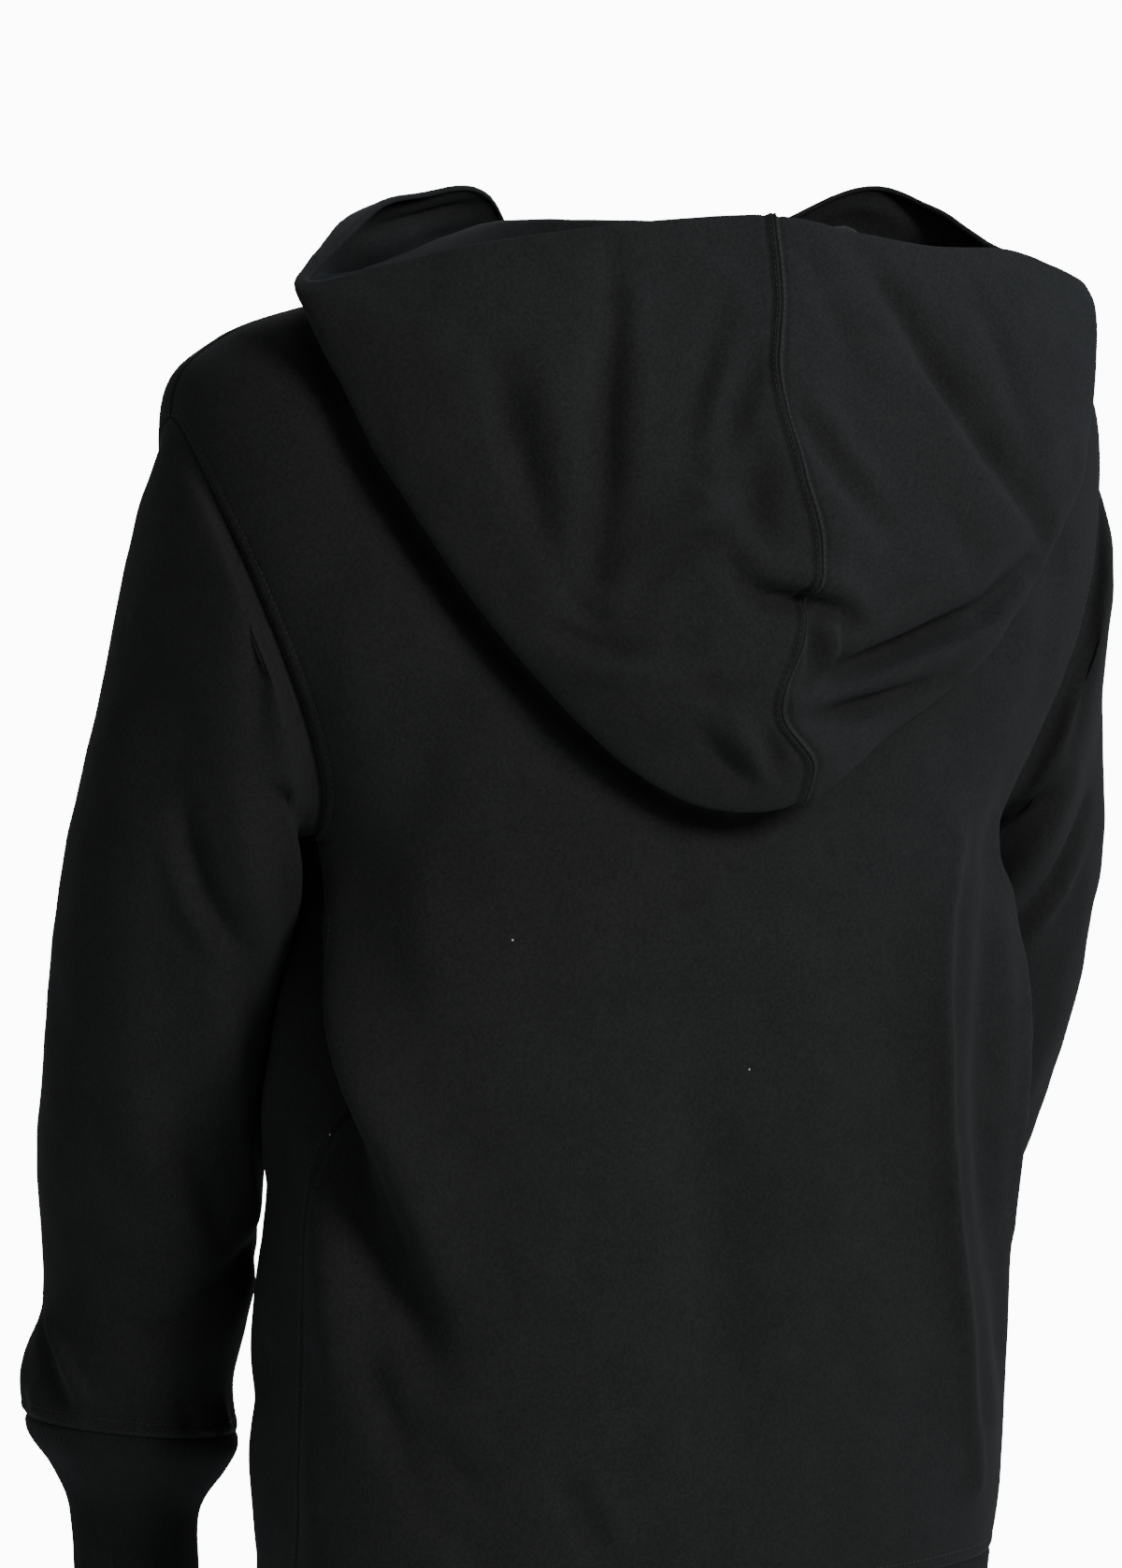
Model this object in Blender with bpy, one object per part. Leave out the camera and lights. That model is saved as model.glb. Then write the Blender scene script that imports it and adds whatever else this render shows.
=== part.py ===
"""Pullover hoodie in black fleece, worn with its hood down and shown with no wearer.

The origin is at the base of the neck, between the two high shoulder points.
+Z is up, the front faces -Y and the wearer's left is +X. All sizes are in metres.
"""
from collections import namedtuple
from math import pi

import bpy
import numpy as np
from mathutils import kdtree

# Cloth
FLEECE_WALL = 0.0020
RIB_WALL = 0.0022
SEAM_GAP = 0.0003

# How finely each piece is divided
BACK_COLUMNS = 20
FRONT_COLUMNS = 16
SIDE_ROWS = 11
ARMHOLE_ROWS = 9
SHOULDER_ROWS = 5
SLEEVE_ROWS = 17
CUFF_ROWS = 6
BAND_ROWS = 4

# Small steps used to measure the slope of a surface
SLOPE_STEP = 0.002

# How the hood is laid on the body: samples of the body, and how many of them each
# point of the hood feels
TREE_LEVELS = 60
TREE_AROUND = 201
LAID_NEIGHBOURS = 6
LAID_SOFTNESS = 0.002

# Body, from the lower edge of the waistband up to the neckline. Each row is one
# section round the body: its height at the side, back and front, its half width
# and where that lies from front to back, how far the back and the front reach,
# and how square its corners are.
BodySection = namedtuple(
    "BodySection",
    "side_z back_z front_z half_width side_y back_y front_y squareness")
BODY = [
    BodySection(-0.750, -0.750, -0.750, 0.196, -0.020, 0.072, -0.160, 2.4),
    BodySection(-0.717, -0.717, -0.717, 0.200, -0.018, 0.076, -0.164, 2.4),
    BodySection(-0.684, -0.684, -0.684, 0.204, -0.016, 0.079, -0.166, 2.4),
    BodySection(-0.635, -0.635, -0.636, 0.205, -0.008, 0.088, -0.170, 2.4),
    BodySection(-0.560, -0.560, -0.560, 0.206, -0.003, 0.094, -0.165, 2.4),
    BodySection(-0.475, -0.475, -0.475, 0.204, 0.002, 0.098, -0.160, 2.5),
    BodySection(-0.390, -0.390, -0.390, 0.200, 0.018, 0.102, -0.155, 2.6),
    BodySection(-0.330, -0.325, -0.325, 0.193, 0.018, 0.105, -0.150, 2.5),
    BodySection(-0.288, -0.275, -0.275, 0.199, -0.010, 0.106, -0.146, 2.4),
    BodySection(-0.180, -0.190, -0.200, 0.252, -0.010, 0.104, -0.138, 2.4),
    BodySection(-0.073, -0.110, -0.130, 0.269, -0.020, 0.097, -0.120, 2.4),
    BodySection(-0.034, -0.075, -0.112, 0.243, -0.018, 0.092, -0.112, 2.3),
    BodySection(-0.012, -0.042, -0.095, 0.180, -0.012, 0.084, -0.104, 2.1),
    BodySection(0.010, -0.008, -0.075, 0.085, 0.000, 0.075, -0.088, 2.0),
]
BAND_TOP = 2
UNDERARM = 8
SHOULDER = 10
NECKLINE = len(BODY) - 1

# Armhole: how far it cuts into each panel, as a share of the half panel
ARMHOLE_BACK_CUT = 0.170
ARMHOLE_FRONT_CUT = 0.230
ARMHOLE_SCOOP = 0.72
ARMHOLE_CORNER = 0.62

# Sleeve, from the armhole down to the cuff seam, given for the wearer's left: the
# middle of each section, its half width from side to side and from front to back,
# how much higher its outer side lies than its middle, and how much further out the
# right arm hangs there.
ArmSection = namedtuple("ArmSection", "x y z half_width half_depth lift right_out")
SLEEVE = [
    ArmSection(0.2430, -0.0250, -0.205, 0.0340, 0.0700, 0.090, 0.0000),
    ArmSection(0.2450, -0.0460, -0.262, 0.0450, 0.0715, 0.052, 0.0000),
    ArmSection(0.2475, -0.0650, -0.318, 0.0570, 0.0690, 0.018, 0.0010),
    ArmSection(0.2440, -0.0970, -0.392, 0.0592, 0.0650, 0.006, 0.0088),
    ArmSection(0.2372, -0.1270, -0.465, 0.0602, 0.0610, 0.000, 0.0100),
    ArmSection(0.2290, -0.1510, -0.535, 0.0558, 0.0590, 0.000, 0.0040),
    ArmSection(0.2345, -0.1660, -0.585, 0.0545, 0.0590, 0.004, 0.0000),
    ArmSection(0.2320, -0.1700, -0.611, 0.0570, 0.0590, 0.006, 0.0000),
]
CUFF = [
    ArmSection(0.2300, -0.1715, -0.623, 0.0550, 0.0570, 0.005, 0.0000),
    ArmSection(0.2271, -0.1740, -0.637, 0.0468, 0.0480, 0.003, 0.0000),
    ArmSection(0.2269, -0.1760, -0.652, 0.0380, 0.0390, 0.001, 0.0000),
    ArmSection(0.2268, -0.1780, -0.668, 0.0345, 0.0360, 0.000, 0.0000),
    ArmSection(0.2245, -0.1805, -0.701, 0.0332, 0.0350, 0.000, 0.0000),
]
# The sleeve first runs on in the direction of the body's cloth, and lower down it
# puffs out over the seam
SLEEVE_START = 1.0
SLEEVE_PUFF = 1.3

# Hood, from one side of the front (around -2) past the centre back (0) to the other
# (+2). The cloth runs from the neckline, turns over, lies down on the back as far as
# the fold, and comes up outside it to the rim of the face opening.
HoodStation = namedtuple(
    "HoodStation",
    "around fold_x fold_y fold_z rim_x rim_y rim_z bulge turn_out turn_up")
HOOD = [
    HoodStation(-2.00, -0.004, -0.119, -0.076, -0.004, -0.108, -0.056, 0.008, 0.010, 0.000),
    HoodStation(-1.80, -0.075, -0.116, -0.052, -0.082, -0.088, 0.018, 0.010, 0.014, 0.003),
    HoodStation(-1.60, -0.128, -0.098, -0.022, -0.146, -0.054, 0.055, 0.010, 0.016, 0.005),
    HoodStation(-1.40, -0.176, -0.062, 0.000, -0.180, -0.022, 0.046, 0.012, 0.018, 0.007),
    HoodStation(-1.20, -0.206, -0.006, -0.002, -0.195, 0.014, 0.024, 0.010, 0.020, 0.010),
    HoodStation(-1.00, -0.224, 0.046, -0.030, -0.231, 0.047, 0.004, 0.008, 0.020, 0.014),
    HoodStation(-0.75, -0.207, 0.076, -0.108, -0.165, 0.085, 0.016, 0.016, 0.018, 0.018),
    HoodStation(-0.50, -0.143, 0.101, -0.190, -0.104, 0.104, 0.016, 0.022, 0.014, 0.022),
    HoodStation(-0.25, -0.067, 0.119, -0.237, -0.048, 0.117, 0.022, 0.022, 0.012, 0.026),
    HoodStation(0.00, -0.008, 0.134, -0.268, 0.000, 0.120, 0.028, 0.026, 0.012, 0.027),
    HoodStation(0.25, 0.062, 0.124, -0.262, 0.050, 0.117, 0.025, 0.024, 0.012, 0.026),
    HoodStation(0.50, 0.134, 0.108, -0.196, 0.103, 0.108, 0.019, 0.022, 0.014, 0.022),
    HoodStation(0.75, 0.194, 0.086, -0.107, 0.164, 0.085, 0.009, 0.016, 0.018, 0.018),
    HoodStation(1.00, 0.221, 0.046, -0.022, 0.221, 0.044, -0.006, 0.008, 0.020, 0.014),
    HoodStation(1.20, 0.192, -0.004, -0.004, 0.184, 0.008, 0.014, 0.010, 0.020, 0.010),
    HoodStation(1.40, 0.160, -0.056, -0.004, 0.136, -0.027, 0.037, 0.014, 0.018, 0.007),
    HoodStation(1.60, 0.122, -0.092, -0.022, 0.082, -0.050, 0.052, 0.010, 0.016, 0.005),
    HoodStation(1.80, 0.068, -0.112, -0.052, 0.044, -0.080, 0.020, 0.010, 0.014, 0.003),
    HoodStation(2.00, 0.004, -0.119, -0.076, 0.004, -0.108, -0.056, 0.008, 0.010, 0.000),
]
# Steps along the cloth: 0 neckline, 1 turn, 2 middle of the under layer, 3 fold,
# 4 and 5 outer layer, 6 rim
HOOD_STEPS = [0, 0.3, 0.6, 0.9, 1.2, 1.6, 2.1, 2.6, 2.85, 3.0, 3.15, 3.35,
              3.6, 3.9, 4.2, 4.5, 4.8, 5.1, 5.4, 5.7, 6.0]
HOOD_FOLD = 3
HOOD_RIM = 6
FOLD_ROUND = 0.020
LOW_OUTER = 0.27
HIGH_OUTER = 0.66
HOOD_CLEARANCE = 0.0085
CLEARANCE_START = 0.5

# The hood's centre seam wanders from side to side on its way down
SeamShift = namedtuple("SeamShift", "z shift")
SEAM_WANDER = [
    SeamShift(-0.270, 0.000), SeamShift(-0.249, -0.002), SeamShift(-0.224, 0.018),
    SeamShift(-0.187, 0.008), SeamShift(-0.139, -0.003), SeamShift(-0.100, 0.006),
    SeamShift(-0.053, 0.014), SeamShift(-0.010, 0.004), SeamShift(0.030, 0.000),
]
SEAM_WANDER_REACH = 0.38

# Folds. A fold is a soft trough (negative depth) or ridge along a short path. On the
# body the path is given by the distance round from the centre back and the height, on
# the hood's outer layer by x and z.
Fold = namedtuple("Fold", "depth width path")
BODY_FOLDS = [
    Fold(-0.024, 0.016, [(0.270, -0.300), (0.264, -0.340), (0.255, -0.380), (0.242, -0.415),
                         (0.226, -0.450), (0.206, -0.490), (0.186, -0.535)]),
    Fold(0.012, 0.020, [(0.240, -0.290), (0.236, -0.330), (0.222, -0.375), (0.208, -0.415),
                        (0.190, -0.450), (0.170, -0.500)]),
    Fold(0.007, 0.015, [(0.236, -0.470), (0.228, -0.510), (0.222, -0.570)]),
    Fold(-0.011, 0.020, [(-0.187, -0.280), (-0.165, -0.345), (-0.161, -0.394), (-0.164, -0.445),
                         (-0.170, -0.500), (-0.186, -0.560)]),
    Fold(0.007, 0.020, [(-0.128, -0.290), (-0.115, -0.345), (-0.114, -0.390), (-0.125, -0.440),
                        (-0.150, -0.540), (-0.170, -0.630)]),
    Fold(-0.014, 0.018, [(-0.262, -0.300), (-0.252, -0.360), (-0.243, -0.430)]),
    Fold(-0.005, 0.022, [(0.030, -0.390), (0.019, -0.455), (0.013, -0.520), (0.011, -0.600)]),
    Fold(-0.006, 0.018, [(0.198, -0.565), (0.172, -0.596), (0.149, -0.624), (0.134, -0.654)]),
    Fold(0.0100, 0.013, [(0.284, -0.287), (0.282, -0.355), (0.289, -0.400), (0.298, -0.430),
                         (0.303, -0.455)]),
    Fold(0.011, 0.030, [(0.316, -0.500), (0.318, -0.570), (0.318, -0.670)]),
    Fold(-0.010, 0.022, [(-0.335, -0.310), (-0.375, -0.400), (-0.400, -0.480)]),
]
HOOD_FOLDS = [
    Fold(-0.009, 0.013, [(-0.010, -0.211), (-0.072, -0.194), (-0.129, -0.176), (-0.172, -0.142)]),
    Fold(-0.006, 0.010, [(-0.020, -0.230), (-0.070, -0.223), (-0.105, -0.214)]),
    Fold(-0.007, 0.010, [(0.036, -0.148), (0.019, -0.163), (-0.003, -0.166), (-0.036, -0.177)]),
    Fold(-0.006, 0.014, [(0.147, -0.054), (0.140, -0.086), (0.135, -0.118)]),
    Fold(-0.006, 0.012, [(0.095, -0.021), (0.103, -0.086), (0.106, -0.127), (0.110, -0.164)]),
    Fold(-0.007, 0.014, [(-0.049, 0.017), (-0.081, -0.032), (-0.130, -0.088), (-0.174, -0.131)]),
]

FLEECE_COLOUR = (0.0125, 0.0130, 0.0135, 1.0)
RIB_COLOUR = (0.0110, 0.0112, 0.0116, 1.0)


def smooth_rows(places, rows, at):
    """Read a table between its rows along a smooth curve through them."""
    places = np.asarray(places, float)
    rows = np.asarray(rows, float)
    at = np.asarray(at, float)
    slopes = np.empty_like(rows)
    spans = np.diff(places)[:, None]
    steps = np.diff(rows, axis=0) / spans
    slopes[0], slopes[-1] = steps[0], steps[-1]
    slopes[1:-1] = (steps[:-1] * spans[1:] + steps[1:] * spans[:-1]) / (spans[:-1] + spans[1:])
    index = np.clip(np.searchsorted(places, at, side="right") - 1, 0, len(places) - 2)
    span = places[index + 1] - places[index]
    u = ((at - places[index]) / span)[..., None]
    span = span[..., None]
    return (rows[index] * (1 + 2 * u) * (1 - u) ** 2
            + slopes[index] * span * u * (1 - u) ** 2
            + rows[index + 1] * u ** 2 * (3 - 2 * u)
            + slopes[index + 1] * span * u ** 2 * (u - 1))


def fold_height(folds, across, height):
    """Height of all folds at points given by two flat coordinates."""
    total = np.zeros_like(across)
    for fold in folds:
        path = np.asarray(fold.path, float)
        lengths = np.hypot(*np.diff(path, axis=0).T)
        run = np.concatenate([[0.0], np.cumsum(lengths)])
        nearest = np.full(across.shape, np.inf)
        along = np.zeros_like(across)
        for start, end, length, before in zip(path[:-1], path[1:], lengths, run[:-1]):
            step = (end - start) / length
            s = np.clip((across - start[0]) * step[0] + (height - start[1]) * step[1], 0, length)
            away = np.hypot(across - start[0] - s * step[0], height - start[1] - s * step[1])
            closer = away < nearest
            nearest = np.where(closer, away, nearest)
            along = np.where(closer, (before + s) / run[-1], along)
        taper = np.sin(pi * (0.12 + 0.76 * along))
        total += fold.depth * taper * np.exp(-(nearest / fold.width) ** 2)
    return total


def quarter_ring(half_width, reach, squareness, share):
    """A point on a quarter of a rounded section, by its share of the way to the side."""
    angles = np.linspace(0, pi / 2, 61)
    sines, cosines = np.sin(angles), np.cos(angles)
    radius = ((sines / half_width[..., None]) ** squareness[..., None]
              + (cosines / reach[..., None]) ** squareness[..., None]) ** (-1 / squareness[..., None])
    x, y = radius * sines, radius * cosines
    run = np.zeros_like(x)
    run[..., 1:] = np.cumsum(np.hypot(np.diff(x), np.diff(y)), axis=-1)
    wanted = share * run[..., -1]
    flat = [np.interp(w, r, angles) for w, r in zip(wanted.ravel(), run.reshape(-1, 61))]
    angle = np.array(flat).reshape(wanted.shape)
    sine, cosine = np.sin(angle), np.cos(angle)
    radius = ((sine / half_width) ** squareness + (cosine / reach) ** squareness) ** (-1 / squareness)
    return radius * sine, radius * cosine, run[..., -1]


def body_base(level, around):
    """The body without folds, and the distance round from the centre back."""
    level, around = np.broadcast_arrays(np.asarray(level, float), np.asarray(around, float))
    around = np.where(around > 2, around - 4, np.where(around < -2, around + 4, around))
    rows = smooth_rows(range(len(BODY)), BODY, level)
    side_z, back_z, front_z, half_width, side_y, back_y, front_y, squareness = np.moveaxis(rows, -1, 0)
    side = np.sign(around)
    turn = np.abs(around)
    on_back = turn <= 1
    share = np.where(on_back, turn, 2 - turn)
    reach = np.where(on_back, back_y - side_y, side_y - front_y)
    x, y, length = quarter_ring(half_width, reach, squareness, share)
    full_back = quarter_ring(half_width, back_y - side_y, squareness, np.ones_like(share))[2]
    distance = np.where(on_back, share * length, full_back + (1 - share) * length)
    side_share = (x / half_width) ** 2
    z = side_share * side_z + (1 - side_share) * np.where(on_back, back_z, front_z)
    point = np.stack([side * x, side_y + np.where(on_back, y, -y), z], -1)
    return point, side * distance


def slopes_of(surface, level, around):
    """Slopes of a surface along its two directions."""
    up = surface(level + SLOPE_STEP, around) - surface(level - SLOPE_STEP, around)
    across = surface(level, around + SLOPE_STEP) - surface(level, around - SLOPE_STEP)
    return up, across


def unit(vectors):
    return vectors / np.linalg.norm(vectors, axis=-1, keepdims=True)


def outward(surface, level, around):
    """Unit normals pointing out of the cloth."""
    up, across = slopes_of(surface, level, around)
    return unit(np.cross(up, across))


def body(level, around):
    """The body's cloth with its main folds."""
    def plain(at_level, at_around):
        return body_base(at_level, at_around)[0]

    point, distance = body_base(level, around)
    rise = fold_height(BODY_FOLDS, distance, point[..., 2])
    return point + outward(plain, level, around) * rise[..., None]


def armhole_share(level, cut):
    """How much of a half panel is left at a level, next to the armhole."""
    place = np.clip((np.asarray(level, float) - UNDERARM) / (SHOULDER - UNDERARM), 0, 1)
    return 1 - cut * np.sin(pi * place ** ARMHOLE_SCOOP) ** ARMHOLE_CORNER


def body_levels():
    """Levels of the panels' rows, closer together at the ends of the armhole."""
    lift = SEAM_GAP / (BODY[BAND_TOP + 1].side_z - BODY[BAND_TOP].side_z)
    side = np.linspace(BAND_TOP + lift, UNDERARM, SIDE_ROWS + 1)
    even = np.linspace(0, 1, ARMHOLE_ROWS + 1)
    eased = 0.5 * even + 0.25 * (1 - np.cos(pi * even))
    armhole = UNDERARM + (SHOULDER - UNDERARM) * eased
    shoulder = np.linspace(SHOULDER, NECKLINE, SHOULDER_ROWS + 1)
    return np.concatenate([side[:-1], armhole, shoulder[1:]])


def back_around(level, share):
    return share * (armhole_share(level, ARMHOLE_BACK_CUT) - SEAM_GAP)


def front_around(level, share):
    kept = share * (armhole_share(level, ARMHOLE_FRONT_CUT) - SEAM_GAP)
    return np.where(kept >= 0, 2 - kept, -2 - kept)


def closed_wall(outer, normals, wall, tube):
    """Vertices and triangles of a cloth wall; the inside follows the outside."""
    rows, columns = outer.shape[:2]
    inner = outer - wall * normals
    vertices = np.concatenate([outer.reshape(-1, 3), inner.reshape(-1, 3)])
    inside = rows * columns
    span = np.cross(outer[1:, :-1] - outer[:-1, :-1], outer[:-1, 1:] - outer[:-1, :-1])
    forward = np.sum(span * normals[:-1, :-1]) > 0
    triangles = []

    def quad(a, b, c, d):
        corners = [(a, b, c), (a, c, d)]
        triangles.extend(corners if forward else [corner[::-1] for corner in corners])

    last = columns if tube else columns - 1
    for i in range(rows - 1):
        for j in range(last):
            k = (j + 1) % columns
            a, b, c, d = i * columns + j, (i + 1) * columns + j, (i + 1) * columns + k, i * columns + k
            quad(a, b, c, d)
            triangles.extend([tuple(reversed([v + inside for v in t])) for t in triangles[-2:]])
    for j in range(last):
        k = (j + 1) % columns
        quad(j, k, k + inside, j + inside)
        top = (rows - 1) * columns
        quad(top + k, top + j, top + j + inside, top + k + inside)
    if not tube:
        for i in range(rows - 1):
            a, b = i * columns, (i + 1) * columns
            quad(b, a, a + inside, b + inside)
            a, b = a + columns - 1, b + columns - 1
            quad(a, b, b + inside, a + inside)
    return vertices, triangles


def cloth_piece(name, outer, normals, wall, material, collection, tube=False):
    vertices, triangles = closed_wall(outer, normals, wall, tube)
    mesh = bpy.data.meshes.new(name)
    mesh.from_pydata(vertices.tolist(), [], triangles)
    mesh.update()
    mesh.shade_smooth()
    mesh.materials.append(material)
    piece = bpy.data.objects.new(name, mesh)
    collection.objects.link(piece)
    return piece


def cloth_material(name, colour, roughness):
    material = bpy.data.materials.new(name)
    material.use_nodes = True
    shader = material.node_tree.nodes["Principled BSDF"]
    shader.inputs["Base Color"].default_value = colour
    shader.inputs["Roughness"].default_value = roughness
    shader.inputs["Metallic"].default_value = 0.0
    return material


def body_panel(name, columns, around_of, collection):
    """A front or back panel: hem to neckline, with side seam, armhole and shoulder."""
    level, share = np.meshgrid(body_levels(), np.linspace(-1, 1, columns + 1), indexing="ij")
    around = around_of(level, share)
    material = cloth_material(name + "_fleece", FLEECE_COLOUR, 0.95)
    cloth_piece(name, body(level, around), outward(body, level, around), FLEECE_WALL,
                material, collection)


def ring_around():
    """Places round the body of the panels' columns, from centre front to centre front."""
    back = np.linspace(-1, 1, BACK_COLUMNS + 1)
    front = np.linspace(0, 1, FRONT_COLUMNS // 2 + 1)
    return np.concatenate([front - 2, back[1:-1], 2 - front[::-1]])


def waistband(collection):
    level, around = np.meshgrid(np.linspace(0, BAND_TOP, BAND_ROWS + 1), ring_around()[:-1], indexing="ij")
    material = cloth_material("waistband_rib", RIB_COLOUR, 0.95)
    cloth_piece("waistband", body(level, around), outward(body, level, around), RIB_WALL,
                material, collection, tube=True)


def armhole_loop(side):
    """The armhole's edge, from the shoulder down the back and up the front."""
    levels = body_levels()
    levels = levels[(levels >= UNDERARM) & (levels <= SHOULDER)]
    down, up = levels[::-1], levels[1:-1]
    level = np.concatenate([down, up])
    back = armhole_share(down, ARMHOLE_BACK_CUT)
    front = 2 - armhole_share(up, ARMHOLE_FRONT_CUT)
    around = side * np.concatenate([back, front])
    return level, around


def sleeve_guides(side):
    """Guide points down the sleeve and cuff for each place round the armhole."""
    level, around = armhole_loop(side)
    edge = body(level, around)
    normal = outward(body, level, around)
    along_edge = np.roll(edge, -1, axis=0) - np.roll(edge, 1, axis=0)
    leave = unit(np.cross(along_edge, normal)) * side
    steps = np.linalg.norm(np.roll(edge, -1, axis=0) - edge, axis=1)
    run = np.concatenate([[0.0], np.cumsum(steps)])
    half = ARMHOLE_ROWS
    turn = np.concatenate([pi * run[:half] / run[half],
                           pi + pi * (run[half:-1] - run[half]) / (run[-1] - run[half])])
    rings = [edge + SEAM_GAP * leave]
    for section in SLEEVE + CUFF:
        middle = section.x if side > 0 else section.x + section.right_out
        x = middle + section.half_width * np.cos(turn)
        y = section.y + section.half_depth * np.sin(turn)
        z = section.z + section.lift * np.cos(turn)
        rings.append(np.stack([side * x, y, z], -1))
    reach = np.linalg.norm(rings[1] - rings[0], axis=1, keepdims=True)
    low = (0.5 - 0.5 * np.cos(turn))[:, None]
    start = unit(leave + SLEEVE_PUFF * low * normal) * SLEEVE_START * reach
    return np.array(rings), start, normal


def read_guides(rings, start, at):
    """Read the sleeve between its guide rings, with the given start direction."""
    slopes = np.empty_like(rings)
    slopes[0] = start
    slopes[1:-1] = (rings[2:] - rings[:-2]) / 2
    slopes[-1] = rings[-1] - rings[-2]
    index = np.clip(np.floor(at).astype(int), 0, len(rings) - 2)
    u = (at - index)[:, None, None]
    return (rings[index] * (1 + 2 * u) * (1 - u) ** 2 + slopes[index] * u * (1 - u) ** 2
            + rings[index + 1] * u ** 2 * (3 - 2 * u) + slopes[index + 1] * u ** 2 * (u - 1))


def tube_normals(rings, start, at, side):
    down = read_guides(rings, start, at + SLOPE_STEP) - read_guides(rings, start, at - SLOPE_STEP)
    points = read_guides(rings, start, at)
    round_it = np.roll(points, -1, axis=1) - np.roll(points, 1, axis=1)
    return unit(np.cross(down, round_it)) * side


def sleeve_and_cuff(word, side, collection):
    rings, start, edge_normal = sleeve_guides(side)
    seam = len(SLEEVE)
    sleeve_at = np.linspace(0, seam, SLEEVE_ROWS + 1)
    cuff_drop = SEAM_GAP / (SLEEVE[-1].z - CUFF[0].z)
    cuff_at = np.linspace(seam + cuff_drop, seam + len(CUFF), CUFF_ROWS + 1)
    normals = tube_normals(rings, start, sleeve_at, side)
    normals[0] = edge_normal
    cloth_piece("sleeve_" + word, read_guides(rings, start, sleeve_at), normals, FLEECE_WALL,
                cloth_material("sleeve_" + word + "_fleece", FLEECE_COLOUR, 0.95), collection, tube=True)
    cloth_piece("cuff_" + word, read_guides(rings, start, cuff_at),
                tube_normals(rings, start, cuff_at, side), RIB_WALL,
                cloth_material("cuff_" + word + "_rib", RIB_COLOUR, 0.95), collection, tube=True)


def hood_guides(around):
    """Seven guide points along the hood's cloth at each place round the neck."""
    places = [station.around for station in HOOD]
    rows = smooth_rows(places, HOOD, around)
    fold, rim = rows[..., 1:4], rows[..., 4:7]
    bulge, turn_out, turn_up = rows[..., 7:8], rows[..., 8:9], rows[..., 9:10]
    level = np.full(around.shape, float(NECKLINE))
    neck = body(level, around)
    along = unit(neck - body(level - SLOPE_STEP, around))
    away = unit(np.concatenate([neck[..., :2], np.zeros_like(neck[..., :1])], -1))
    up = np.array([0.0, 0.0, 1.0])
    first = neck + SEAM_GAP * along
    turned = neck + away * turn_out + up * turn_up
    under = 0.5 * turned + 0.5 * fold
    rise = rim - fold
    out = unit(away + np.array([0.0, 0.6, 0.0]) * np.clip(fold[..., 1:2] / 0.1, 0, 1))
    low = fold + LOW_OUTER * rise + 0.9 * bulge * out
    high = fold + HIGH_OUTER * rise + bulge * out
    guides = np.stack([first, turned, under, fold, low, high, rim], 0)
    slopes = np.empty_like(guides)
    slopes[0] = along * np.maximum(turn_up, 0.004)
    slopes[1:-1] = (guides[2:] - guides[:-2]) / 2
    slopes[1] = 0.35 * (guides[2] - guides[0])
    slopes[HOOD_FOLD] = out * FOLD_ROUND * np.clip(bulge / 0.012, 0.6, 1.4)
    slopes[-1] = rim - high
    return guides, slopes


def hood_base(step, around):
    guides, slopes = hood_guides(around)
    index = np.clip(np.floor(step).astype(int), 0, HOOD_RIM - 1)
    u = (step - index)[..., None]

    def pick(values, at):
        return np.take_along_axis(values, at[None, ..., None], 0)[0]

    point = (pick(guides, index) * (1 + 2 * u) * (1 - u) ** 2 + pick(slopes, index) * u * (1 - u) ** 2
             + pick(guides, index + 1) * u ** 2 * (3 - 2 * u) + pick(slopes, index + 1) * u ** 2 * (u - 1))
    outer = np.clip((step - HOOD_FOLD) / 0.5, 0, 1)
    wander = smooth_rows([row.z for row in SEAM_WANDER], [[row.shift] for row in SEAM_WANDER],
                         point[..., 2])[..., 0]
    point[..., 0] += wander * outer * np.exp(-(around / SEAM_WANDER_REACH) ** 2)
    return point


def hood(step, around):
    """The hood's cloth with its main folds on the outer layer."""
    step, around = np.broadcast_arrays(np.asarray(step, float), np.asarray(around, float))
    point = hood_base(step, around)
    outer = np.clip((step - HOOD_FOLD) / 0.4, 0, 1)
    behind = np.clip((1.0 - np.abs(around)) / 0.15, 0, 1)
    rise = fold_height(HOOD_FOLDS, point[..., 0], point[..., 2]) * outer * behind
    return point + outward(hood_base, step, around) * rise[..., None]


def body_tree():
    """The body's outside as points with normals, to lay the hood on."""
    level, around = np.meshgrid(np.linspace(UNDERARM - 1, NECKLINE, TREE_LEVELS),
                                np.linspace(-2, 2, TREE_AROUND), indexing="ij")
    points = body(level, around).reshape(-1, 3)
    normals = outward(body, level, around).reshape(-1, 3)
    tree = kdtree.KDTree(len(points))
    for index, point in enumerate(points):
        tree.insert(point, index)
    tree.balance()
    return tree, points, normals


def laid_on_body(cloth, clearance):
    """Lift the cloth where it comes closer to the body than its clearance."""
    tree, points, normals = body_tree()
    lifted = cloth.copy()
    for place in np.ndindex(cloth.shape[:2]):
        found = tree.find_n(cloth[place], LAID_NEIGHBOURS)
        near = [index for _, index, _ in found]
        weight = np.array([1 / (distance + LAID_SOFTNESS) for _, _, distance in found])
        weight /= weight.sum()
        normal = unit(weight @ normals[near])
        height = weight @ np.sum((cloth[place] - points[near]) * normals[near], axis=1)
        lifted[place] += normal * max(clearance[place] - height, 0.0)
    return lifted


def grid_normals(points):
    return unit(np.cross(np.gradient(points, axis=0), np.gradient(points, axis=1)))


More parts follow.
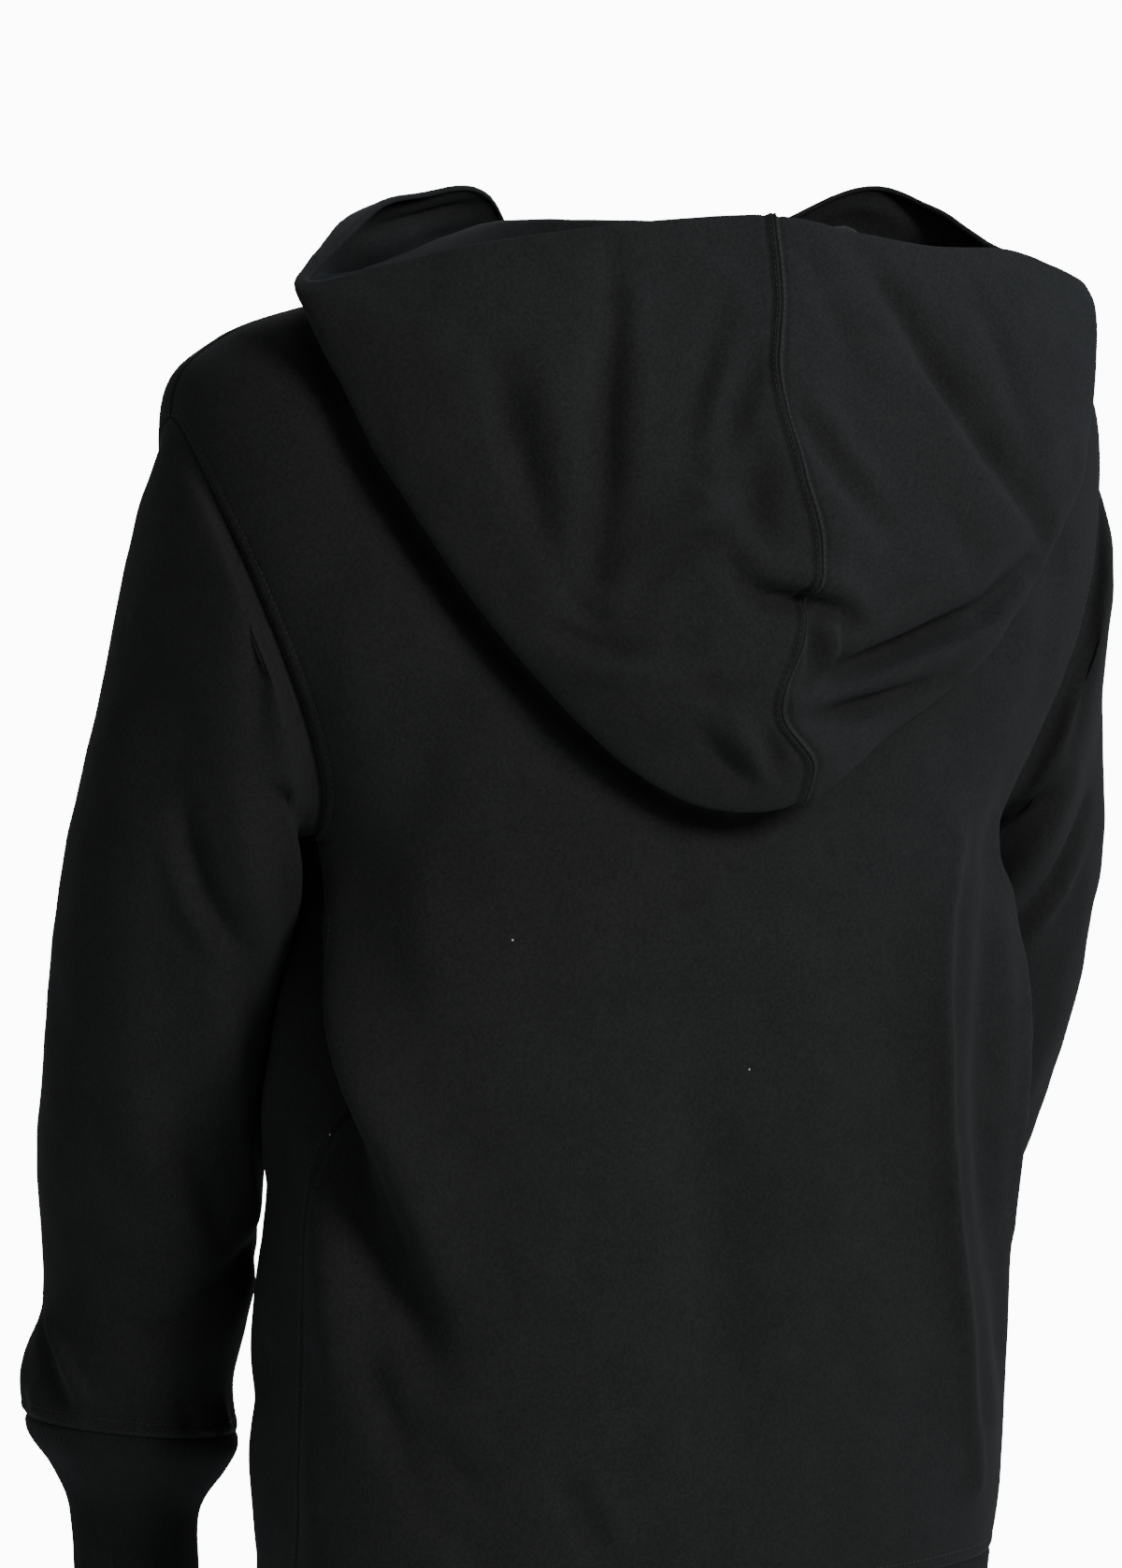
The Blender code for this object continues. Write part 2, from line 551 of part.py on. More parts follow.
def hood_halves(collection):
    """The whole hood is shaped at once, then parted at the centre back and front."""
    ring = ring_around()
    step, around = np.meshgrid(HOOD_STEPS, ring, indexing="ij")
    clearance = HOOD_CLEARANCE * np.clip(step / CLEARANCE_START, 0, 1) - SEAM_GAP
    outer = laid_on_body(hood(step, around), clearance)
    normals = grid_normals(outer)
    normals[0] = outward(body, np.full(ring.shape, float(NECKLINE)), ring)
    normals[:, [0, -1], 0] = 0
    normals = unit(normals)
    centre = len(ring) // 2
    along_seam = np.gradient(outer[:, centre], axis=0)
    across_seam = unit(np.cross(normals[:, centre], along_seam))
    for word, side in (("left", 1), ("right", -1)):
        half = (ring * side) >= 0
        points = outer.copy()
        points[:, centre] += side * SEAM_GAP / 2 * across_seam
        points[:, [0, -1], 0] += side * SEAM_GAP / 2
        cloth_piece("hood_" + word, points[:, half], normals[:, half], FLEECE_WALL,
                    cloth_material("hood_" + word + "_fleece", FLEECE_COLOUR, 0.95), collection)


def main():
    for leftover in list(bpy.data.objects):
        bpy.data.objects.remove(leftover, do_unlink=True)
    collection = bpy.data.collections.new("Pullover hoodie")
    bpy.context.scene.collection.children.link(collection)
    body_panel("back", BACK_COLUMNS, back_around, collection)
    body_panel("front", FRONT_COLUMNS, front_around, collection)
    waistband(collection)
    for word, side in (("left", 1), ("right", -1)):
        sleeve_and_cuff(word, side, collection)
    hood_halves(collection)


main()
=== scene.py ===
"""Pullover hoodie in black fleece, worn with its hood down: cloth, seams, stitching and stage.

Each sewn piece is a thin closed wall of cloth that lies on its solid of the frame, read from
the same named sections at a finer spacing, with creases, seam relief and ribs worked into it.
Sizes are in metres. +Z is up, the front faces -Y and the wearer's left is +X.
"""
from collections import namedtuple
from math import cos, pi, radians, sin

import bpy
import numpy as np
from bpy.props import FloatProperty, FloatVectorProperty, IntProperty, PointerProperty
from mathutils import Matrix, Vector, kdtree, noise


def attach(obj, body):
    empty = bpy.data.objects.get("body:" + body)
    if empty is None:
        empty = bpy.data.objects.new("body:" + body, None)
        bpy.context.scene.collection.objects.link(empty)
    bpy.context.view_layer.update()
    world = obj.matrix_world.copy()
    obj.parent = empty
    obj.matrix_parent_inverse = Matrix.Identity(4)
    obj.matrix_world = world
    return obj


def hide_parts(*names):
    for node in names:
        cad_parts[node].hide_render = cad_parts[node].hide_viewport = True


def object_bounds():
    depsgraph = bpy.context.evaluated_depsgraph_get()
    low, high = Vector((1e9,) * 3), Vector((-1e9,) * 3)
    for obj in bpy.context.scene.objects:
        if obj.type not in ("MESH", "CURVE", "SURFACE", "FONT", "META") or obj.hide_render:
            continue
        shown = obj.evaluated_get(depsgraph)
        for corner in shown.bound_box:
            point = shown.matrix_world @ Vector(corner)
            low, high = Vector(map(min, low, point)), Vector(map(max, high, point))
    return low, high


bl_info = {
    "name": "Pullover hoodie",
    "version": (1, 0, 0),
    "blender": (4, 5, 0),
    "location": "View3D > Sidebar > Hoodie",
    "description": "Dresses the hoodie's frame in fleece, rib and stitching, and sets up its stage",
    "category": "Object",
}

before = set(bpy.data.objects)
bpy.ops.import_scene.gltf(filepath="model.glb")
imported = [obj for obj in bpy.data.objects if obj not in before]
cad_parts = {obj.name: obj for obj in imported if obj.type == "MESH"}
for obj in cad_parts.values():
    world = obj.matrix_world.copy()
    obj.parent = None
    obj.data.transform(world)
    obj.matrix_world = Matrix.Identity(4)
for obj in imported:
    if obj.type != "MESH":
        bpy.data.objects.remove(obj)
CAD_BOX = [list(corner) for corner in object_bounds()]

# Forms of the solids. The rows of the tables are lengths in millimetres, apart from a
# section's squareness and the place round the neck that starts a hood station.

SEAM_GAP = 0.0003
# The gap between two pieces of cloth slants through the wall, so no light falls through
SEAM_SLANT = 0.0009
SLANT_REACH = 0.0040
# How far from a joined edge the cloth's wall takes the direction of its neighbour's
EDGE_BLEND = 0.0090
SLOPE_STEP = 0.002

BodySection = namedtuple(
    "BodySection",
    "side_z back_z front_z half_width side_y back_y front_y squareness")
BODY = [BodySection(*np.divide(lengths, 1000), squareness) for *lengths, squareness in (
    (-750, -750, -750, 196, -20, 72, -160, 2.4),
    (-717, -717, -717, 200, -18, 76, -164, 2.4),
    (-684, -684, -684, 204, -16, 79, -166, 2.4),
    (-635, -635, -636, 205, -8, 88, -170, 2.4),
    (-560, -560, -560, 206, -3, 94, -165, 2.4),
    (-475, -475, -475, 204, 2, 98, -160, 2.5),
    (-390, -390, -390, 200, 18, 102, -155, 2.6),
    (-330, -325, -325, 193, 18, 105, -150, 2.5),
    (-288, -275, -275, 199, -10, 106, -146, 2.4),
    (-180, -190, -200, 252, -10, 104, -138, 2.4),
    (-73, -110, -130, 269, -20, 97, -120, 2.4),
    (-34, -75, -112, 243, -18, 92, -112, 2.3),
    (-12, -42, -95, 180, -12, 84, -104, 2.1),
    (10, -8, -75, 85, 0, 75, -88, 2),
)]
BAND_TOP = 2
UNDERARM = 8
SHOULDER = 10
NECKLINE = len(BODY) - 1

ARMHOLE_BACK_CUT = 0.170
ARMHOLE_FRONT_CUT = 0.230
ARMHOLE_SCOOP = 0.72
ARMHOLE_CORNER = 0.62

# Down the left arm. The right arm hangs further out by right_out.
ArmSection = namedtuple("ArmSection", "x y z half_width half_depth lift right_out")
SLEEVE = [ArmSection(*np.divide(row, 1000)) for row in (
    (243, -25, -205, 34, 70, 90, 0),
    (245, -46, -262, 45, 71.5, 52, 0),
    (247.5, -65, -318, 57, 69, 18, 1),
    (244, -97, -392, 59.2, 65, 6, 8.8),
    (237.2, -127, -465, 60.2, 61, 0, 10),
    (229, -151, -535, 55.8, 59, 0, 4),
    (234.5, -166, -585, 54.5, 59, 4, 0),
    (232, -170, -611, 57, 59, 6, 0),
)]
CUFF = [ArmSection(*np.divide(row, 1000)) for row in (
    (230, -171.5, -623, 55, 57, 5, 0),
    (227.1, -174, -637, 46.8, 48, 3, 0),
    (226.9, -176, -652, 38, 39, 1, 0),
    (226.8, -178, -668, 34.5, 36, 0, 0),
    (224.5, -180.5, -701, 33.2, 35, 0, 0),
)]
SLEEVE_PUFF = 1.3
SLEEVE_TURN_WIDTH = 0.055

HoodStation = namedtuple(
    "HoodStation",
    "around fold_x fold_y fold_z rim_x rim_y rim_z bulge turn_out turn_up")
HOOD = [HoodStation(around, *np.divide(lengths, 1000)) for around, *lengths in (
    (-2, -4, -119, -76, -4, -108, -56, 8, 10, 0),
    (-1.8, -75, -116, -52, -82, -88, 18, 10, 14, 3),
    (-1.6, -128, -98, -22, -146, -54, 55, 10, 16, 5),
    (-1.4, -176, -62, 0, -180, -22, 46, 12, 18, 7),
    (-1.2, -206, -6, -2, -195, 14, 24, 10, 20, 10),
    (-1, -224, 46, -30, -231, 47, 4, 8, 20, 14),
    (-0.75, -207, 76, -108, -165, 85, 16, 16, 18, 18),
    (-0.5, -143, 101, -190, -104, 104, 16, 22, 14, 22),
    (-0.25, -67, 119, -237, -48, 117, 22, 22, 12, 26),
    (0, -8, 134, -268, 0, 120, 28, 26, 12, 27),
    (0.25, 62, 124, -262, 50, 117, 25, 24, 12, 26),
    (0.5, 134, 108, -196, 103, 108, 19, 22, 14, 22),
    (0.75, 194, 86, -107, 164, 85, 9, 16, 18, 18),
    (1, 221, 46, -22, 221, 44, -6, 8, 20, 14),
    (1.2, 192, -4, -4, 184, 8, 14, 10, 20, 10),
    (1.4, 160, -56, -4, 136, -27, 37, 14, 18, 7),
    (1.6, 122, -92, -22, 82, -50, 52, 10, 16, 5),
    (1.8, 68, -112, -52, 44, -80, 20, 10, 14, 3),
    (2, 4, -119, -76, 4, -108, -56, 8, 10, 0),
)]
# Steps along the hood's cloth at which it is laid on the body, and places round it
LAY_STEPS = [0, 0.3, 0.6, 0.9, 1.2, 1.6, 2.1, 2.6, 2.85, 3.0, 3.15, 3.35,
             3.6, 3.9, 4.2, 4.5, 4.8, 5.1, 5.4, 5.7, 6.0]
LAY_BACK = 20
LAY_FRONT = 8
HOOD_FOLD = 3
HOOD_RIM = 6
FOLD_ROUND = 0.020
LOW_OUTER = 0.27
HIGH_OUTER = 0.66
HOOD_CLEARANCE = 0.0085
CLEARANCE_START = 0.5
TREE_LEVELS = 60
TREE_AROUND = 201
LAID_NEIGHBOURS = 6
LAID_SOFTNESS = 0.002

# The hood's centre seam wanders to the left: its height and how far
SEAM_WANDER = np.divide([(-270, 0), (-249, -2), (-224, 18), (-187, 8), (-139, -3), (-100, 6),
                         (-53, 14), (-10, 4), (30, 0)], 1000)
SEAM_WANDER_REACH = 0.38


class Fold:
    """A soft trough (negative depth) or ridge along a path, given in millimetres.

    On the body the path is given by the distance round from the centre back and the
    height, and on the hood's outer layer by x and z.
    """

    def __init__(self, depth, width, *path):
        self.depth, self.width = depth / 1000, width / 1000
        self.path = np.reshape(path, (-1, 2)) / 1000


BODY_FOLDS = [
    Fold(-24, 16, 270, -300, 264, -340, 255, -380, 242, -415, 226, -450, 206, -490, 186, -535),
    Fold(12, 20, 240, -290, 236, -330, 222, -375, 208, -415, 190, -450, 170, -500),
    Fold(7, 15, 236, -470, 228, -510, 222, -570),
    Fold(-11, 20, -187, -280, -165, -345, -161, -394, -164, -445, -170, -500, -186, -560),
    Fold(7, 20, -128, -290, -115, -345, -114, -390, -125, -440, -150, -540, -170, -630),
    Fold(-14, 18, -262, -300, -252, -360, -243, -430),
    Fold(-5, 22, 30, -390, 19, -455, 13, -520, 11, -600),
    Fold(-6, 18, 198, -565, 172, -596, 149, -624, 134, -654),
    Fold(10, 13, 284, -287, 282, -355, 289, -400, 298, -430, 303, -455),
    Fold(11, 30, 316, -500, 318, -570, 318, -670),
    Fold(-10, 22, -335, -310, -375, -400, -400, -480),
]
BODY_CREASES = [
    # where the hood's lower edge presses on the back
    Fold(-13, 9, 226, -30, 208, -80, 180, -129, 157, -162, 130, -195, 101, -224, 72, -248, 42, -267,
         12, -276, -15, -270),
    # beside the left arm: the sharp bottom of the deep fold, and the cloth that hangs over it
    Fold(-11, 7, 252, -290, 249, -335, 236, -380, 221, -415, 205, -450, 190, -490),
    Fold(4, 8, 246, -320, 238, -355, 222, -395, 206, -430),
    Fold(-9, 13, 199, -470, 187, -502, 176, -530, 166, -560),
    Fold(-4, 9, 209, -520, 200, -560, 184, -598, 166, -628),
    Fold(3, 10, 199, -585, 165, -612, 134, -645),
    Fold(3, 12, 238, -590, 236, -625, 232, -655),
    # the body's side behind the left arm
    Fold(-4, 13, 322, -300, 322, -345, 326, -385),
    Fold(1.8, 10, 287, -335, 287, -362, 291, -390),
    Fold(5, 12, 296, -392, 301, -422, 307, -450, 312, -474),
    # down the back
    Fold(3, 14, 178, -295, 176, -330, 170, -370),
    Fold(-2.2, 18, 124, -320, 120, -350, 118, -390),
    Fold(-2.2, 11, 52, -285, 42, -315, 36, -345),
    Fold(-2.8, 26, 75, -385, 45, -420, 20, -470, 10, -560),
    Fold(-3, 8, 101, -612, 88, -632, 74, -655),
    Fold(2.2, 8, 92, -606, 78, -626, 62, -650),
    Fold(2.2, 20, -30, -360, -45, -420, -62, -500),
    # the long ridge on the right of the back, and the one beside the right arm
    Fold(5.5, 6, -134, -294, -119, -329, -115, -376, -120, -437, -128, -487, -140, -539, -150, -590,
         -164, -640),
    Fold(-6, 10, -150, -295, -133, -329, -128, -376, -133, -437, -142, -490, -155, -545, -164, -600),
    Fold(6.5, 9, -206, -300, -213, -345, -210, -400, -208, -450, -211, -505),
    Fold(-3, 14, -190, -520, -196, -570, -206, -630),
    # across the shoulders, between the hood and the armholes
    Fold(2.5, 14, 190, -130, 212, -180, 214, -230),
    Fold(-3, 16, 150, -180, 176, -240, 190, -290),
    Fold(-2.5, 15, -200, -110, -205, -165, -196, -230),
    # the front
    Fold(-6, 18, 330, -250, 370, -290, 420, -315),
    Fold(-6, 18, -330, -252, -366, -296, -410, -326),
    Fold(4, 14, 345, -330, 395, -400, 440, -480),
    Fold(4, 14, -350, -345, -392, -420, -430, -500),
    Fold(-4, 16, 500, -560, 470, -610, 430, -655),
    Fold(-3.5, 16, -500, -540, -478, -600, -444, -655),
    Fold(-5, 13, 300, -560, 330, -600, 350, -650),
    Fold(-5, 13, -305, -570, -328, -615, -345, -655),
    Fold(-3, 20, 540, -240, 560, -330, 552, -430),
    Fold(3, 18, -520, -280, -540, -380, -530, -480),
]
HOOD_FOLDS = [
    Fold(-9, 13, -10, -211, -72, -194, -129, -176, -172, -142),
    Fold(-6, 10, -20, -230, -70, -223, -105, -214),
    Fold(-7, 10, 36, -148, 19, -163, -3, -166, -36, -177),
    Fold(-6, 14, 147, -54, 140, -86, 135, -118),
    Fold(-6, 12, 95, -21, 103, -86, 106, -127, 110, -164),
    Fold(-7, 14, -49, 17, -81, -32, -130, -88, -174, -131),
]
HOOD_CREASES = [
    # the long diagonal on the right, sharper towards its lower end
    Fold(-5, 6.5, -64, -7, -86, -40, -113, -78, -140, -103, -160, -120, -178, -134),
    Fold(3, 9, -52, -10, -90, -62, -120, -94, -150, -126),
    Fold(-3, 9, -124, -5, -138, -36, -146, -62, -160, -86),
    Fold(-2.5, 10, -20, 4, -30, -30, -44, -60),
    # the fan of folds that runs from the seam's lower end to the right
    Fold(8.5, 6.5, 4, -217, -53, -207, -96, -196, -134, -182, -160, -162),
    Fold(-6.5, 5.5, -6, -209, -40, -199, -73, -190, -131, -172, -166, -146),
    Fold(-6, 5, -10, -224, -60, -217, -100, -208),
    Fold(5.5, 8, -14, -238, -70, -228, -110, -212, -146, -190),
    Fold(4.5, 8, -30, -190, -60, -180, -96, -166, -130, -150),
    # the tuck across the seam
    Fold(-5.8, 3.6, 38, -146, 34, -156, 20, -162, -3, -165, -14, -167, -28, -172, -37, -179),
    Fold(4.5, 6.5, 34, -137, 20, -151, 0, -155, -20, -159, -38, -168),
    Fold(-8, 4.5, -8, -174, -9, -186, -7, -200),
    Fold(5.5, 5.5, -20, -180, -19, -190, -15, -202),
    Fold(-4.5, 4.5, -30, -178, -28, -190, -25, -198),
    # left half
    Fold(-5.2, 6.2, 89, -161, 80, -151, 72, -143, 58, -136, 43, -134),
    Fold(6, 7, 94, -150, 80, -139, 62, -128, 42, -125),
    Fold(-3.5, 6, 90, 10, 92, -26, 100, -60, 102, -118, 108, -157),
    Fold(2.8, 9, 82, -10, 86, -60, 90, -110),
    Fold(-4.2, 7, 152, -52, 147, -80, 139, -106, 132, -132, 126, -146),
    Fold(4, 11, 134, -52, 128, -80, 122, -110),
    Fold(-4.5, 8, 36, -18, 47, -43, 54, -65, 61, -90),
    Fold(-7, 8, 23, -46, 36, -70, 43, -88),
    Fold(3.5, 8, 36, -44, 46, -64, 52, -84),
    Fold(-7.5, 10, 26, -98, 27, -118, 26, -134),
    Fold(4.5, 9, 46, -98, 52, -112, 56, -122),
    Fold(-2.5, 5, 62, -100, 48, -108, 36, -106),
    Fold(-5, 5, 124, -180, 106, -188, 87, -191),
    Fold(4.5, 7, 118, -196, 100, -201, 80, -202),
    Fold(-4, 6, 120, -160, 112, -170, 100, -178),
    Fold(-4.2, 4.8, 52, -232, 38, -246, 23, -258),
    Fold(5.5, 7, 40, -226, 26, -240, 16, -254),
    Fold(-5, 5, 18, -232, 13, -244, 9, -254),
    Fold(-3.5, 6, 60, -206, 46, -212, 34, -210),
    # right of the seam
    Fold(-4, 8, 6, -62, -12, -90, -34, -114, -52, -132),
    Fold(3.5, 9, -8, -66, -30, -94, -52, -116),
    Fold(-3, 12, -96, -120, -110, -140, -130, -150),
]

# Creases on the rest of the hood. The path is given by the place round the neck and the
# step along the cloth, each scaled to millimetres.
GATHER_AROUND = 0.30
GATHER_STEP = 0.027
HOOD_GATHERS = [
    Fold(2.9, 6, 497, 158, 470, 147, 436, 126),
    Fold(-3.6, 6, 500, 155, 480, 141, 452, 120),
    Fold(2.9, 6, 506, 153, 492, 136, 474, 112),
    Fold(-2.9, 6, 490, 160, 456, 152, 416, 138),
    Fold(2, 8, 470, 160, 430, 148, 396, 132),
    Fold(-2, 8, 560, 155, 545, 130, 530, 105),
    Fold(-4.6, 7, -500, 150, -468, 151, -452, 146, -436, 138, -412, 124),
    Fold(3.9, 7, -490, 162, -460, 161, -430, 155, -398, 144),
    Fold(2.6, 8, -490, 134, -462, 130, -436, 120),
    Fold(-2, 8, -560, 155, -545, 130, -530, 105),
]

# Creases on a sleeve: the place round it (0 on the outside, then the back), scaled to
# millimetres, and the height.
SLEEVE_CREASES = [
    # behind the elbow: the fold that runs down to the inside, and its neighbours
    Fold(-6.2, 6, 54, -268, 61, -286, 73, -312, 94, -342),
    Fold(6.6, 11, 76, -254, 90, -292, 106, -330, 116, -362),
    Fold(2.6, 5, 52, -292, 64, -320, 84, -348),
    Fold(-5, 5, 94, -261, 112, -267, 138, -274),
    Fold(-4.5, 8, 68, -150, 78, -200, 86, -236),
    Fold(-3.6, 17, 33, -193, 52, -287, 66, -384, 78, -440),
    Fold(4.5, 10, 88, -362, 103, -410, 115, -462, 132, -498),
    Fold(-5, 9, 80, -432, 88, -464, 102, -504),
    Fold(3.4, 12, 46, -400, 60, -446, 80, -490),
    # the cloth under the arm, which covers the body's side
    Fold(6.5, 8.5, 128, -285, 128, -322, 129, -342),
    # above the cuff
    Fold(-6.6, 10, 80, -548, 104, -531, 132, -512, 150, -500),
    Fold(-3, 4, 44, -545, 62, -549, 88, -548),
    Fold(5.5, 11, 46, -566, 66, -570, 90, -570),
    Fold(4, 4, -2, -549, 22, -567, 42, -590),
    Fold(-5.5, 6, -20, -548, 10, -572, 32, -597),
    Fold(3, 9, -40, -560, -20, -580, 6, -596),
    # inside and front, which don't show in the photograph
    Fold(-5, 9, 150, -520, 170, -538, 192, -548),
    Fold(-4.5, 10, 226, -400, 250, -408, 276, -402, 300, -390),
    Fold(-4, 9, 220, -430, 246, -440, 276, -436),
    Fold(-4, 9, 232, -372, 256, -376, 286, -366),
    Fold(-4.5, 10, 236, -540, 262, -552, 292, -548),
    Fold(-3.5, 10, 200, -480, 222, -500, 236, -526),
    Fold(-4, 10, 270, -230, 256, -270, 240, -310),
    Fold(-4, 9, 160, -300, 176, -330, 188, -370),
]
RIGHT_SLEEVE_TURN = 0.016
RIGHT_SLEEVE_DROP = 0.012

# Soft swells of the cloth, each with a noise of its own
Swell = namedtuple("Swell", "height size offset")
BODY_SWELLS = Swell(0.0012, 0.062, 3.1), Swell(0.0005, 0.024, 7.7)
BAND_SWELL = Swell(0.0007, 0.045, 12.0)
SLEEVE_SWELLS = Swell(0.0014, 0.050, 20.0), Swell(0.0006, 0.020, 30.0)
CUFF_SWELL = Swell(0.0012, 0.030, 40.0)
HOOD_SWELLS = Swell(0.0010, 0.040, 50.0), Swell(0.0006, 0.017, 60.0)

# Lengths over which ribs fade at the two edges of a band
RIB_START = 0.004
RIB_END = 0.003

# Fineness of the cloth
EDGE_SPACING = [0.0, 0.0006, 0.0012, 0.0019, 0.0027, 0.0035, 0.0043, 0.0052, 0.0062, 0.0074,
                0.0088, 0.0106, 0.0130, 0.0160]
PANEL_SPACING = 0.0035
ROW_SPACING = 0.0034
ARMHOLE_ROWS = 84
LOWER_PANEL = 0.385
UPPER_PANEL = 0.105
HALF_PANEL = 0.275
BAND_HEIGHT = 0.070
SLEEVE_LENGTH = 0.56
CUFF_LENGTH = 0.088
HALF_HOOD = 0.24
HOOD_SPACING = 0.0029
HOOD_FRONT_PLACES = 44
# Rows of the hood from each step along its cloth, and their number up to the next
HOOD_ROWS = [(0, 9), (0.6, 12), (1.4, 20), (2.7, 30), (3.5, 62), (5.6, 10), (5.9, 6)]
# Rows and columns at which lines of stitches stop short of the neckline and the sides
NECK_MARGIN = 10
SIDE_MARGIN = 6
RING_ANGLES = np.linspace(0, pi / 2, 61)
RIM_WIDTH = 0.007
RIM_EXTRA = 0.0009

# The hood's sides beside the neck lean forward at their rims, between places round the
# neck and over steps along the cloth
HUMP_START = (1.22, 1.50)
HUMP_END = (1.72, 1.95)
HUMP_LEAN = 0.024
LEAN_STEPS = (4.4, 6.0)
LEAN_DIRECTION = np.array([-0.45, -0.89, -0.05])
HUMP_BELLY = 0.012
BELLY_STEP = 4.3
BELLY_REACH = 0.7
HumpRise = namedtuple("HumpRise", "height place reach")
HUMP_RISES = HumpRise(0.010, 1.32, 0.17), HumpRise(0.003, -1.45, 0.20)
RISE_STEPS = (3.8, 5.6)

FLOOR_DROP = 0.62
FLOOR_RADIUS = 2.6


# Reading the tables

def curve(rows, slopes, index, u, span=1.0):
    """The smooth curve with the given slopes, at the share u of the way from the row at index."""
    return (rows[index] * (1 + 2 * u) * (1 - u) ** 2
            + slopes[index] * span * u * (1 - u) ** 2
            + rows[index + 1] * u ** 2 * (3 - 2 * u)
            + slopes[index + 1] * span * u ** 2 * (u - 1))


def curve_at(rows, slopes, at):
    """The curve at places counted in rows."""
    index = np.clip(np.floor(at).astype(int), 0, len(rows) - 2)
    return curve(rows, slopes, index, (at - index)[:, None, None])


def near(distance, reach):
    """1 at no distance, fading softly within about the reach."""
    return np.exp(-(distance / reach) ** 2)


def smooth_rows(places, rows, at):
    """Read a table between its rows along a smooth curve through them."""
    places = np.asarray(places, float)
    rows = np.asarray(rows, float)
    at = np.asarray(at, float)
    slopes = np.empty_like(rows)
    spans = np.diff(places)[:, None]
    steps = np.diff(rows, axis=0) / spans
    slopes[0], slopes[-1] = steps[0], steps[-1]
    slopes[1:-1] = (steps[:-1] * spans[1:] + steps[1:] * spans[:-1]) / (spans[:-1] + spans[1:])
    index = np.clip(np.searchsorted(places, at, side="right") - 1, 0, len(places) - 2)
    span = places[index + 1] - places[index]
    return curve(rows, slopes, index, ((at - places[index]) / span)[..., None], span[..., None])


def fold_height(folds, across, height):
    """Height of all folds at points given by two flat coordinates."""
    total = np.zeros_like(across)
    for fold in folds:
        path = fold.path
        lengths = np.hypot(*np.diff(path, axis=0).T)
        run = np.concatenate([[0.0], np.cumsum(lengths)])
        nearest = np.full(across.shape, np.inf)
        along = np.zeros_like(across)
        for start, end, length, before in zip(path[:-1], path[1:], lengths, run[:-1]):
            step = (end - start) / length
            s = np.clip((across - start[0]) * step[0] + (height - start[1]) * step[1], 0, length)
            away = np.hypot(across - start[0] - s * step[0], height - start[1] - s * step[1])
            closer = away < nearest
            nearest = np.where(closer, away, nearest)
            along = np.where(closer, (before + s) / run[-1], along)
        taper = np.sin(pi * (0.12 + 0.76 * along))
        total += fold.depth * taper * near(nearest, fold.width)
    return total


def unit(vectors):
    return vectors / np.linalg.norm(vectors, axis=-1, keepdims=True)


def eased(low, high, values):
    """0 below low, 1 above high, with a soft start and end."""
    share = np.clip((values - low) / (high - low), 0, 1)
    return share * share * (3 - 2 * share)


def unevenness(points, swell, side=0):
    """Soft noise from -1 to 1 at each point, with swells of about the given size."""
    offset = swell.offset + side
    shift = Vector((offset, -offset, 0.5 * offset))
    flat = [noise.noise(Vector(p) / swell.size + shift) for p in points.reshape(-1, 3)]
    return np.array(flat).reshape(points.shape[:-1])


# The body's form

def quarter_ring(half_width, reach, squareness, share):
    """A point on a quarter of a rounded section, by its share of the way to the side."""
    def ring(angle, half_width, reach, power):
        sine, cosine = np.sin(angle), np.cos(angle)
        radius = ((sine / half_width) ** power + (cosine / reach) ** power) ** (-1 / power)
        return radius * sine, radius * cosine

    x, y = ring(RING_ANGLES, half_width[..., None], reach[..., None], squareness[..., None])
    run = np.zeros_like(x)
    run[..., 1:] = np.cumsum(np.hypot(np.diff(x), np.diff(y)), axis=-1)
    wanted = share * run[..., -1]
    flat = [np.interp(w, r, RING_ANGLES)
            for w, r in zip(wanted.ravel(), run.reshape(-1, len(RING_ANGLES)))]
    return *ring(np.array(flat).reshape(wanted.shape), half_width, reach, squareness), run[..., -1]


def body_base(level, around):
    """The body without folds, and the distance round from the centre back."""
    level, around = np.broadcast_arrays(np.asarray(level, float), np.asarray(around, float))
    around = np.where(around > 2, around - 4, np.where(around < -2, around + 4, around))
    rows = smooth_rows(range(len(BODY)), BODY, level)
    side_z, back_z, front_z, half_width, side_y, back_y, front_y, squareness = np.moveaxis(rows, -1, 0)
    side = np.sign(around)
    turn = np.abs(around)
    on_back = turn <= 1
    share = np.where(on_back, turn, 2 - turn)
    reach = np.where(on_back, back_y - side_y, side_y - front_y)
    x, y, length = quarter_ring(half_width, reach, squareness, share)
    full_back = quarter_ring(half_width, back_y - side_y, squareness, np.ones_like(share))[2]
    distance = np.where(on_back, share * length, full_back + (1 - share) * length)
    side_share = (x / half_width) ** 2
    z = side_share * side_z + (1 - side_share) * np.where(on_back, back_z, front_z)
    point = np.stack([side * x, side_y + np.where(on_back, y, -y), z], -1)
    return point, side * distance


def outward(surface, level, around):
    """Unit normals pointing out of the cloth."""
    up = surface(level + SLOPE_STEP, around) - surface(level - SLOPE_STEP, around)
    across = surface(level, around + SLOPE_STEP) - surface(level, around - SLOPE_STEP)
    return unit(np.cross(up, across))


def plain_body(level, around):
    return body_base(level, around)[0]


def body(level, around, fine=True):
    """The body's cloth with its folds, and with its creases where fine."""
    point, distance = body_base(level, around)
    if point.ndim == 3:
        normal = facing_out(grid_normals(point), point)
    else:
        normal = outward(plain_body, level, around)
    rise = fold_height(BODY_FOLDS, distance, point[..., 2])
    if fine:
        under_hood = 1 - 0.85 * eased(-0.16, -0.10, point[..., 2])
        rise = rise + fold_height(BODY_CREASES, distance, point[..., 2])
        rise = rise + under_hood * sum(swell.height * unevenness(point, swell) for swell in BODY_SWELLS)
    return point + normal * rise[..., None]


def solid_body(level, around):
    return body(level, around, fine=False)


def facing_out(normals, points):
    """Normals of a grid on the body, turned to point away from its middle."""
    return normals * np.sign(np.sum(normals[..., :2] * points[..., :2]))


